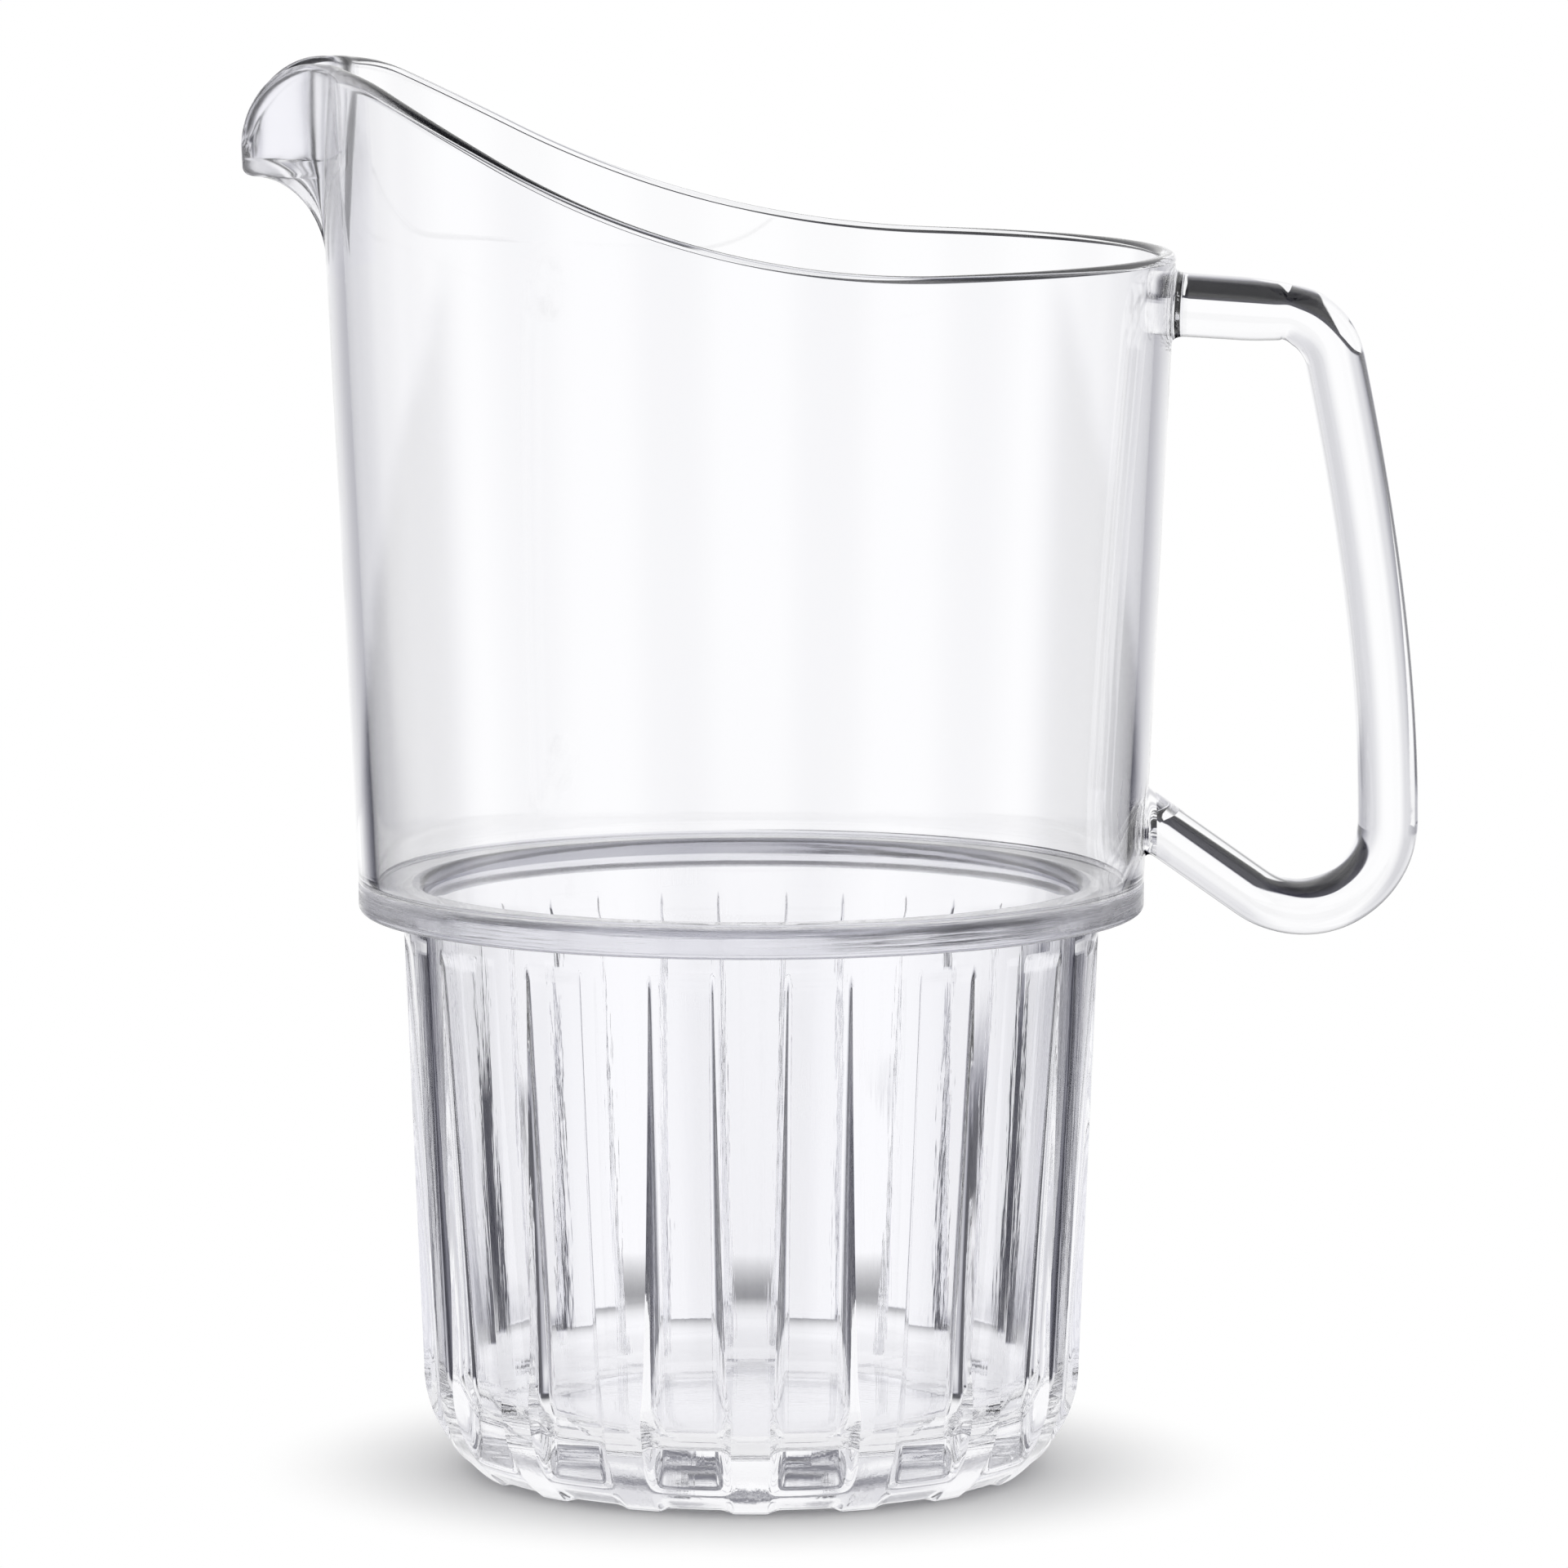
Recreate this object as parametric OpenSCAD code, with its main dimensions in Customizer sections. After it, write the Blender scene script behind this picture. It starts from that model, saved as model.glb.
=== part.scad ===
// Beer pitcher in clear plastic: a fluted lower bowl, a stacking step, a tapered upper bowl
// with a climbing rim, a beak spout and a loop handle. Lengths are in millimetres.
// +Z is up, the handle points to +X and the spout to -X. The origin is on the bowls' axis,
// on the surface that the pitcher stands on.

/* [Lower bowl] */
// Height of the step's underside above the table
lower_h = 89.6; // [80:0.1:100]
// Outer diameter just under the step, across the lands
lower_d_top = 110.8; // [110:0.1:114]
// Outer diameter where the base starts to round in
lower_d_base = 104.6; // [102:0.1:108]
// Radius of the rounding round the base
base_round_r = 20; // [17:0.1:24]
// Outer diameter of the ring that stands on the table
foot_d = 87.2; // [84:0.1:90]
// Width of the ring that stands on the table
foot_w = 7; // [5:0.1:10]
// Depth of the hollow under the floor
hollow_t = 1.5; // [0.5:0.1:3]
// Wall across a land, under the step
lower_wall_top = 3.8; // [3.2:0.1:5]
// Wall across a land, at the base
lower_wall_base = 5.6; // [5:0.1:7]
// Height of the inside floor above the table
floor_z = 10; // [8:0.1:14]
// Radius of the inside corner round the floor
floor_corner_r = 8; // [4:0.1:12]

/* [Flutes] */
// Number of flutes round the lower bowl
flute_count = 16; // [8:1:16]
// Width of a flute at its top
flute_w_top = 8; // [5:0.1:10]
// Width of a flute where the base starts to round in
flute_w_base = 12.6; // [9:0.1:14]
// Depth of a flute at its top
flute_depth_top = 1; // [0.6:0.1:1.8]
// Depth of a flute where the base starts to round in
flute_depth_base = 3.2; // [2:0.1:3.6]
// Plain band between the step and the flutes
flute_gap = 3.4; // [2:0.1:8]
// Depth of the notches between the feet
foot_notch_t = 0.6; // [0.3:0.1:1.2]
// Length of the notches between the feet
foot_notch_w = 4; // [2:0.1:4.5]

/* [Stacking step] */
// How far the step stands out past the lower bowl
step_reach = 7; // [5:0.1:10]
// Thickness of the step
step_t = 4.9; // [4:0.1:7]
// Width of the lower bowl's shoulder, which the step is welded down on
shoulder_w = 1.5; // [1:0.1:2]
// Rounding of the step's lower outer edge
step_edge_r = 1.2; // [0.5:0.1:2]
// Gap for the weld between the lip and the bore
weld_gap = 0.1; // [0.05:0.05:0.2]

/* [Upper bowl] */
// Height of the rim's low side above the table
rim_low_z = 194.4; // [190:0.1:205]
// Outer diameter at the rim's low side
rim_d = 134.3; // [132:0.1:138]
// Wall of the upper bowl
upper_wall = 2.8; // [2.4:0.1:3.2]
// Fillet between the wall and the step
wall_fillet_r = 2; // [1:0.1:3]
// Distance from the axis, towards the handle, at which the rim starts to climb
rim_start_x = 30; // [20:0.5:40]
// Radius of the curve at the start of the climb
rim_climb_r = 149; // [130:1:160]
// Slope of the climb, in degrees
rim_slope = 28; // [24:0.5:30]
// Radius of the curve at the crest
rim_crest_r = 25.6; // [20:0.1:30]
// Distance from the axis, towards the spout, of the crest
rim_crest_x = 70; // [68:0.1:74]

/* [Spout] */
// Half of the angle that the spout takes out of the wall, in degrees
spout_half_angle = 17.5; // [15:0.5:20]
// Half of the angle between the spout's two crests, in degrees
spout_crest_angle = 12.6; // [10:0.2:14]
// How far the spout's tip stands out from the wall
spout_reach = 12.1; // [9:0.1:14]
// Drop from the crest to the underside of the tip
spout_drop = 18.2; // [16:0.1:22]
// Radius of the curve under the beak
spout_under_r = 13.4; // [10:0.1:15]
// Plain wall left under the beak, inside the spout piece
spout_margin = 1.6; // [1:0.1:3]

/* [Handle] */
// Thickness of the grip, away from the bowl
grip_t = 9.5; // [8:0.1:11]
// Width of the grip, across the hand
grip_w = 14; // [11:0.1:17]
// How far the grip's outer face stands out from the lower arm's root
grip_reach = 41.7; // [36:0.1:48]
// Depth of the upper arm's root below the rim's low side
upper_root_drop = 8.6; // [7.5:0.1:12]
// Height of the lower arm's root above the step
lower_root_rise = 8.6; // [7.5:0.1:13]
// Radius of the upper bend, at the middle of the bar
upper_bend_r = 9.4; // [8:0.1:11]
// Distance of the upper bend's centre from the upper arm's root
upper_bend_reach = 14.3; // [12:0.1:17]
// Height of the upper bend's centre below the upper root
upper_bend_drop = 10.4; // [9.8:0.1:12]
// Radius of the lower bend, at the middle of the bar
lower_bend_r = 13.8; // [12:0.1:15]
// Height of the lower bend's centre above the lower root
lower_bend_rise = 0.6; // [-1:0.1:2]
// How far the upper root pad stands out from the wall
upper_pad_t = 2; // [1.4:0.1:3]
// How far the lower root pad stands out from the wall
lower_pad_t = 1.4; // [1:0.1:3]
// Margin of a root pad round the handle's end
pad_margin = 0.6; // [0.2:0.1:1]

/* [Hidden] */
$fn = 96;
CLEAR_PLASTIC = [0.87, 0.88, 0.92, 0.6];
FROSTED_PLASTIC = [0.76, 0.76, 0.81, 0.8];

// Overrun of every cut
cut_over = 5;
// Steps of a quarter-round edge, a long curve, a bend, the grip and a straight arm
edge_steps = 6;
curve_steps = 10;
bend_steps = 12;
grip_steps = 14;
arm_steps = 4;
// Sides of the handle's section, and columns and rows of the spout's skin
grip_sides = 24;
spout_columns = 32;
spout_rows = 18;

// Roundness of the handle's section: 2 is an ellipse, more is squarer
grip_power = 2.4;
// How the beak swells across its width, closes in downwards, and how its mouth sweeps up
swell_power = 1.6;
close_power = 0.8;
mouth_power = 1.5;
// Where the fillet inside the wall leaves the step, in degrees
fillet_toe_angle = -75;
// Where the leaning grip turns upright, as a share of the height between the two bends
grip_knee_share = 0.574;

// Thickness of the handle's bar along its length, as shares of the grip's thickness
bar_places_share = [0, 0.05, 0.11, 0.19, 0.3, 0.66, 0.78, 0.88, 1];
bar_shares = [1.06, 1.05, 0.92, 0.99, 1, 1, 0.95, 0.89, 0.89];

step_top = lower_h + step_t;
step_d = lower_d_top + 2 * step_reach;
bore_r = lower_d_top / 2 - shoulder_w;
lip_out_r = bore_r - weld_gap;
lip_in_r = lower_d_top / 2 - lower_wall_top;
lip_r = lip_out_r - lip_in_r;
floor_in_r = lower_d_base / 2 - lower_wall_base;
base_round_x = lower_d_base / 2 - base_round_r;
base_round_z = sqrt(pow(base_round_r, 2) - pow(foot_d / 2 - base_round_x, 2));

flute_top_z = lower_h - flute_gap;
flute_top_r = lower_r(flute_top_z) - flute_depth_top;
flute_base_r = lower_d_base / 2 - flute_depth_base;
flute_tilt = atan2(flute_top_r - flute_base_r, flute_top_z - base_round_z);
flute_len = (flute_top_z - base_round_z) / cos(flute_tilt);
flute_run = base_round_z / cos(flute_tilt) + cut_over;
flute_spread = (flute_w_base - flute_w_top) / flute_len;
foot_flat_r = foot_d / 2 - foot_notch_w;

climb_x = rim_start_x - rim_climb_r * sin(rim_slope);
climb_z = rim_low_z + rim_climb_r * (1 - cos(rim_slope));
crest_start_x = rim_crest_r * sin(rim_slope) - rim_crest_x;
crest_start_z = climb_z + (climb_x - crest_start_x) * tan(rim_slope);
crest_z = crest_start_z + rim_crest_r * (1 - cos(rim_slope));

tip_z = crest_z - spout_drop;
beak_root_z = tip_z - spout_under_r;
notch_z = beak_root_z - spout_margin;
lip_low_z = tip_z + upper_wall;
join_z = rim_z(-upper_r(crest_z) * cos(spout_half_angle));

upper_arm_t = grip_t * bar_shares[0];
lower_arm_t = grip_t * bar_shares[len(bar_shares) - 1];
upper_root_z = rim_low_z - upper_root_drop;
lower_root_z = step_top + lower_root_rise;
upper_root = [upper_r(upper_root_z) + upper_pad_t, upper_root_z];
lower_root = [upper_r(lower_root_z) + lower_pad_t, lower_root_z];
upper_bend = upper_root + [upper_bend_reach, -upper_bend_drop];
lower_bend = lower_root + [grip_reach - grip_t / 2 - lower_bend_r, lower_bend_rise];
grip_lean = atan2(lower_bend[0] + lower_bend_r - upper_bend[0] - upper_bend_r,
    grip_knee_share * (upper_bend[1] - lower_bend[1]));
upper_arm_angle = touch_angle(upper_root, upper_bend, upper_bend_r);
lower_arm_angle = touch_angle(lower_root, lower_bend, -lower_bend_r);
upper_bend_end = on_circle(upper_bend, upper_bend_r, grip_lean);
lower_bend_start = on_circle(lower_bend, lower_bend_r, 0);
grip_knee = [lower_bend_start[0], mix(upper_bend_end[1], lower_bend_start[1], grip_knee_share)];
bar_path = concat(
    [for (i = [0 : arm_steps - 1])
        mix(upper_root, on_circle(upper_bend, upper_bend_r, 90 + upper_arm_angle), i / arm_steps)],
    arc(upper_bend, upper_bend_r, 90 + upper_arm_angle, grip_lean, bend_steps),
    [for (i = [1 : grip_steps - 1])
        bow(upper_bend_end, grip_knee, lower_bend_start, i / grip_steps)],
    arc(lower_bend, lower_bend_r, 0, lower_arm_angle - 90, bend_steps),
    [for (i = [1 : arm_steps])
        mix(on_circle(lower_bend, lower_bend_r, lower_arm_angle - 90), lower_root, i / arm_steps)]
);
bar_last = len(bar_path) - 1;

// A point or number part of the way from one to another
function mix(a, b, t) = a + (b - a) * t;
// The point of a circle at an angle
function on_circle(c, r, a) = c + r * [cos(a), sin(a)];
// Points along an arc
function arc(c, r, a0, a1, n) = [for (i = [0 : n]) on_circle(c, r, mix(a0, a1, i / n))];
// A point of a bowed line that leaves a towards k and reaches b from k
function bow(a, k, b, t) = mix(mix(a, k, t), mix(k, b, t), t);
// Direction of the line from p that touches a circle, over it or, for a negative radius, under it
function touch_angle(p, c, r) = atan2(c[1] - p[1], c[0] - p[0]) + asin(r / norm(c - p));

// Outer radius of the lower bowl across a land, and of the upper bowl, at a height
function lower_r(z) = mix(lower_d_base, lower_d_top, (z - base_round_z) / (lower_h - base_round_z)) / 2;
function upper_r(z) = mix(step_d, rim_d, (z - step_top) / (rim_low_z - step_top)) / 2;

// Height of the rim over a distance along X
function rim_z(x) =
    x > rim_start_x ? rim_low_z
    : x > climb_x ? rim_low_z + rim_climb_r - sqrt(pow(rim_climb_r, 2) - pow(rim_start_x - x, 2))
    : x > crest_start_x ? climb_z + (climb_x - x) * tan(rim_slope)
    : crest_z - rim_crest_r + sqrt(pow(rim_crest_r, 2) - pow(min(x + rim_crest_x, rim_crest_r), 2));

// Reach of the beak's middle line at a height: a curve under the tip, then upright
function beak_reach(z) =
    z <= beak_root_z ? 0
    : z >= tip_z ? spout_reach
    : spout_reach * (1 - sqrt(1 - pow((z - beak_root_z) / spout_under_r, 2)));
// Half-angle of the beak at a height
function beak_angle(z) =
    spout_half_angle * pow(min(1, max(0, (z - beak_root_z) / (join_z - beak_root_z))), close_power);
// How far the beak stands out from the wall at an angle from its middle and a height
function beak_swell(a, z) =
    abs(a) >= beak_angle(z) ? 0
    : beak_reach(z) * pow(1 - pow(a / beak_angle(z), 2), swell_power);
// Height of the spout's mouth at an angle from its middle
function mouth_z(a) =
    abs(a) < spout_crest_angle
    ? mix(lip_low_z, crest_z, pow(sin(90 * abs(a) / spout_crest_angle), mouth_power))
    : mix(crest_z, join_z,
        pow((abs(a) - spout_crest_angle) / (spout_half_angle - spout_crest_angle), 2));
// A point of the spout's skin: outside for a wall of 0, and otherwise the inside under that wall
function spout_point(a, z, wall) =
    let (r = upper_r(z) + beak_swell(a, z - wall) - wall)
    [-r * cos(a), -r * sin(a), z];

// Rounded section of the handle's bar, as [across, thick] shares of its half sizes
function bar_share(i) =
    let (a = 360 * i / grip_sides)
    [for (u = [cos(a), sin(a)]) sign(u) * pow(abs(u), 2 / grip_power)];
// Direction of the bar's path at a point
function bar_angle(i) =
    let (d = bar_path[min(i + 1, bar_last)] - bar_path[max(i - 1, 0)])
    atan2(d[1], d[0]);
// Thickness of the bar at a point: the ends are cut upright, so their section is longer
function bar_t(i) =
    grip_t * lookup(i / bar_last, [for (k = [0 : len(bar_shares) - 1])
        [bar_places_share[k], bar_shares[k]]])
    / (i == 0 || i == bar_last ? abs(cos(bar_angle(i))) : 1);
// Across-the-bar direction at a point, upright at the two ends
function bar_up(i) =
    i == 0 ? [0, 1] : i == bar_last ? [0, -1] : [-sin(bar_angle(i)), cos(bar_angle(i))];
function bar_ring(i) = [
    for (k = [0 : grip_sides - 1])
    let (s = bar_share(k), p = bar_path[i] + bar_up(i) * s[1] * bar_t(i) / 2)
    [p[0], s[0] * grip_w / 2, p[1]]
];

// Two triangles for each cell of a grid of points, columns by rows, turned over on request
function skin(columns, rows, first, flip) = [
    for (c = [0 : columns - 1], r = [0 : rows - 1])
    let (
        p = first + c * (rows + 1) + r,
        q = p + rows + 1
    )
    each flip ? [[p, p + 1, q], [q, p + 1, q + 1]] : [[p, q, p + 1], [q, q + 1, p + 1]]
];

module upper_bowl() {
    wall_x = step_d / 2 - upper_wall;
    top_z = crest_z + cut_over;
    color(CLEAR_PLASTIC) {
        difference() {
            rotate_extrude()
            polygon(concat(
                [[upper_r(step_top), step_top], [upper_r(top_z), top_z]],
                [[upper_r(top_z) - upper_wall, top_z]],
                arc([wall_x - wall_fillet_r, step_top + wall_fillet_r], wall_fillet_r,
                    0, fillet_toe_angle, edge_steps),
                [[wall_x - wall_fillet_r * (1 - cos(fillet_toe_angle)), step_top]]
            ));
            above_rim();
            spout_notch();
        }
        root_pad(upper_root, upper_arm_t, upper_arm_angle);
        root_pad(lower_root, lower_arm_t, lower_arm_angle);
    }
}

// Everything over the rim's climbing line
module above_rim() {
    far_x = upper_r(crest_z) + cut_over;
    top_z = crest_z + 2 * cut_over;
    rotate([90, 0, 0])
    linear_extrude(height = 2 * far_x, center = true)
    polygon(concat(
        [[-far_x, top_z], [far_x, top_z], [far_x, rim_low_z]],
        [for (i = [0 : curve_steps])
            let (x = mix(rim_start_x, climb_x, i / curve_steps)) [x, rim_z(x)]],
        [for (i = [0 : curve_steps])
            let (x = mix(crest_start_x, -rim_crest_x, i / curve_steps)) [x, rim_z(x)]],
        [[-far_x, crest_z]]
    ));
}

// The wedge of wall that the spout takes the place of
module spout_notch() {
    far_x = upper_r(crest_z) + cut_over;
    half_y = far_x * tan(spout_half_angle);
    translate([0, 0, notch_z])
    linear_extrude(height = crest_z + 2 * cut_over - notch_z)
    polygon([[0, 0], [-far_x, half_y], [-far_x, -half_y]]);
}

// A pad on the wall with a flat face, which an end of the handle is welded to
module root_pad(root, bar, slope) {
    half_w = grip_w / 2 + pad_margin;
    half_t = bar / cos(slope) / 2 + pad_margin;
    start_x = upper_r(root[1]) - upper_wall / 2;
    translate([start_x, 0, root[1]])
    rotate([90, 0, 90])
    linear_extrude(height = root[0] - start_x)
    polygon([for (i = [0 : grip_sides - 1])
        let (s = bar_share(i)) [s[0] * half_w, s[1] * half_t]]);
}

module spout() {
    grid = [for (wall = [0, upper_wall], c = [0 : spout_columns])
        let (a = mix(-spout_half_angle, spout_half_angle, c / spout_columns))
        for (r = [0 : spout_rows])
        spout_point(a, mix(notch_z, mouth_z(a), r / spout_rows), wall)];
    rows = spout_rows + 1;
    inner = (spout_columns + 1) * rows;
    last = spout_columns * rows;
    bottom_edge = [for (c = [0 : spout_columns - 1])
        let (p = c * rows, q = p + rows)
        each [[p, inner + p, q], [q, inner + p, inner + q]]];
    mouth_edge = [for (c = [0 : spout_columns - 1])
        let (p = c * rows + spout_rows, q = p + rows)
        each [[p, q, inner + p], [q, inner + q, inner + p]]];
    side_edges = [for (r = [0 : spout_rows - 1])
        let (p = r, q = last + r)
        each [
            [p, p + 1, inner + p], [p + 1, inner + p + 1, inner + p],
            [q, inner + q, q + 1], [q + 1, inner + q, inner + q + 1]
        ]];
    color(CLEAR_PLASTIC)
    polyhedron(
        points = grid,
        faces = concat(
            skin(spout_columns, spout_rows, 0, false),
            skin(spout_columns, spout_rows, inner, true),
            bottom_edge, mouth_edge, side_edges
        )
    );
}

module step_ring() {
    color(FROSTED_PLASTIC)
    rotate_extrude()
    polygon(concat(
        [[bore_r, step_top], [bore_r, lower_h]],
        arc([step_d / 2 - step_edge_r, lower_h + step_edge_r], step_edge_r, -90, 0, edge_steps),
        [[step_d / 2, step_top]]
    ));
}

module lower_bowl() {
    color(CLEAR_PLASTIC)
    difference() {
        rotate_extrude()
        polygon(concat(
            [[0, hollow_t], [foot_d / 2 - foot_w - hollow_t, hollow_t], [foot_d / 2 - foot_w, 0]],
            arc([base_round_x, base_round_z], base_round_r, -asin(base_round_z / base_round_r), 0,
                curve_steps),
            [[lower_d_top / 2, lower_h], [lip_out_r, lower_h]],
            arc([lip_out_r, step_top - lip_r], lip_r, 90, 180, edge_steps),
            arc([floor_in_r - floor_corner_r, floor_z + floor_corner_r], floor_corner_r, 0, -90,
                edge_steps),
            [[0, floor_z]]
        ));
        for (i = [0 : flute_count - 1])
            rotate([0, 0, 360 * (i + 0.5) / flute_count]) {
                flute();
                foot_notch();
            }
    }
}

// A flute's cutter: a flat floor that leans out towards the top, with a round upper end
module flute() {
    low_w = flute_w_base + flute_spread * flute_run;
    end_r = flute_w_top / 2;
    translate([flute_base_r, 0, base_round_z])
    rotate([0, flute_tilt, 0])
    rotate([90, 0, 90])
    linear_extrude(height = flute_depth_base + cut_over) {
        polygon([
            [-low_w / 2, -flute_run], [low_w / 2, -flute_run],
            [end_r, flute_len - end_r], [-end_r, flute_len - end_r]
        ]);
        translate([0, flute_len - end_r])
        circle(r = end_r);
    }
}

// A notch under a flute, which leaves a foot under each land
module foot_notch() {
    translate([foot_flat_r, -flute_w_base / 2, -cut_over])
    cube([foot_notch_w + cut_over, flute_w_base, cut_over + foot_notch_t]);
}

module handle() {
    rings = bar_last + 1;
    sides = [for (i = [0 : bar_last - 1], k = [0 : grip_sides - 1])
        let (
            p = i * grip_sides + k,
            q = i * grip_sides + (k + 1) % grip_sides
        )
        each [[p, q, p + grip_sides], [q, q + grip_sides, p + grip_sides]]];
    caps = [
        [for (k = [0 : grip_sides - 1]) grip_sides - 1 - k],
        [for (k = [0 : grip_sides - 1]) bar_last * grip_sides + k]
    ];
    color(CLEAR_PLASTIC)
    polyhedron(points = [for (i = [0 : rings - 1]) each bar_ring(i)], faces = concat(sides, caps));
}

upper_bowl();
spout();
step_ring();
lower_bowl();
handle();
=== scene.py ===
"""Beer pitcher in clear moulded plastic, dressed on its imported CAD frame.

Five pieces stand for the five CAD nodes: upper bowl, spout, step ring, lower bowl and handle. They meet on
shared faces, which carry the weld finish, so light passes from one to the next as in fused plastic.
Sizes are in millimetres and angles in radians. The mesh code turns lengths into metres with MM.
"""

import logging
import math
from collections.abc import Callable, Iterable, Sequence
from dataclasses import dataclass, field
from enum import Enum

import bmesh
import bpy
from mathutils import Matrix, Vector


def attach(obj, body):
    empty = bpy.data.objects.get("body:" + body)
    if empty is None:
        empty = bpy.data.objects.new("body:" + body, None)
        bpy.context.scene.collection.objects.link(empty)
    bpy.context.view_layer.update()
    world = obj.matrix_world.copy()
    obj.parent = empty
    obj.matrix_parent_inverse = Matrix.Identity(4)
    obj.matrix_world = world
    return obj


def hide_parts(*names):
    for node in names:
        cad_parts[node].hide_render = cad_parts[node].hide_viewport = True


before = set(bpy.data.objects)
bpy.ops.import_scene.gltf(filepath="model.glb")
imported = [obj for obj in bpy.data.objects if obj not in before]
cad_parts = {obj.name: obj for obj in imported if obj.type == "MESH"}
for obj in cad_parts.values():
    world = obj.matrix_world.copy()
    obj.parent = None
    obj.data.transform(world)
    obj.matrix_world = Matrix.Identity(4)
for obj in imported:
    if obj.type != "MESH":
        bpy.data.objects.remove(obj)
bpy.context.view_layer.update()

LOG = logging.getLogger("pitcher")
MM = 0.001
MERGE = 0.001 * MM  # points closer than this, in metres, are one point
GUARD = 0.2  # distance of a guard row from the end of a flat band, in millimetres
SHARP = math.radians(38)  # edges that turn by more than this stay sharp
TURN_SLACK = 0.001  # how far past a column, in radians, still counts as on it
HEIGHT_SLACK = 0.01  # how far past a row, in millimetres, still counts as on it
ROUNDS = 4  # rounds of closing in on a point that depends on itself
HALVINGS = 24  # rounds of halving a span round a point

Point = tuple[float, float]
Rgba = tuple[float, float, float, float]


class Slot(Enum):
    """The record's material slots."""

    CLEAR = "clear_plastic"
    STEP = "step_plastic"


class Face(Enum):
    """What a face of a piece is: plastic that shows, a face fused to a neighbour, or part of the ledge."""

    SHOWN = 0
    WELD = 1
    LEDGE = 2


class Drag(Enum):
    """The way that the fine lines of a moulded surface run, as millimetres per cycle along X, Y and Z."""

    EVEN = (9.0, 9.0, 9.0)
    UPRIGHT = (1.1, 1.1, 70.0)
    ROUND = (16.0, 16.0, 0.45)


def mix(a: float, b: float, t: float) -> float:
    """Return the value a share t of the way from a to b."""
    return a + (b - a) * t


def ease(t: float) -> float:
    """Return a smooth step of t, held between 0 and 1."""
    t = min(1.0, max(0.0, t))
    return t * t * (3 - 2 * t)


def arc(centre: Point, radius: float, start: float, end: float, steps: int) -> list[Point]:
    """Return points along an arc.

    Args:
        centre: The arc's centre.
        radius: Its radius.
        start: Its first angle.
        end: Its last angle.
        steps: How many pieces it is cut into.

    Returns:
        The steps + 1 points.
    """
    angles = [mix(start, end, i / steps) for i in range(steps + 1)]
    return [(centre[0] + radius * math.cos(a), centre[1] + radius * math.sin(a)) for a in angles]


def run(start: Point, end: Point, steps: int, guard: float = 0.0) -> list[Point]:
    """Return points along a straight line, with a guard point close to each end that keeps its shading flat.

    Args:
        start: The first point.
        end: The last point.
        steps: How many even pieces the line is cut into.
        guard: Distance of the guard points from the ends, or 0 for none.

    Returns:
        The points, both ends included.
    """
    length = math.dist(start, end)
    shares = {i / steps for i in range(steps + 1)}
    if guard:
        shares |= {guard / length, 1 - guard / length}
    return [(mix(start[0], end[0], t), mix(start[1], end[1], t)) for t in sorted(shares)]


def polar(radius: float, angle: float, z: float) -> Vector:
    """Return the point, in metres, at a radius and angle round the bowls' axis and a height."""
    return Vector((radius * math.cos(angle), radius * math.sin(angle), z)) * MM


def linear(hex_code: str) -> Rgba:
    """Turn an sRGB hex colour into linear RGBA.

    Args:
        hex_code: Six hex digits, such as "f4f4f8".

    Returns:
        The linear colour with an alpha of 1.
    """
    values = [int(hex_code[i : i + 2], 16) / 255 for i in (0, 2, 4)]
    shades = [v / 12.92 if v <= 0.04045 else ((v + 0.055) / 1.055) ** 2.4 for v in values]
    return (shades[0], shades[1], shades[2], 1.0)


def add_node(
    tree: bpy.types.NodeTree,
    kind: str,
    inputs: dict[int | str, object] | None = None,
    **settings: object,
) -> bpy.types.Node:
    """Add a node with its settings, values and links.

    Args:
        tree: The tree that takes the node.
        kind: Its bl_idname.
        inputs: A value, or the socket that feeds it, for each input by index or name.
        settings: The node's own settings.

    Returns:
        The new node.
    """
    node = tree.nodes.new(kind)
    for name, value in settings.items():
        setattr(node, name, value)
    for key, value in (inputs or {}).items():
        if isinstance(value, bpy.types.NodeSocket):
            tree.links.new(value, node.inputs[key])
        else:
            node.inputs[key].default_value = value
    return node


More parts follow.
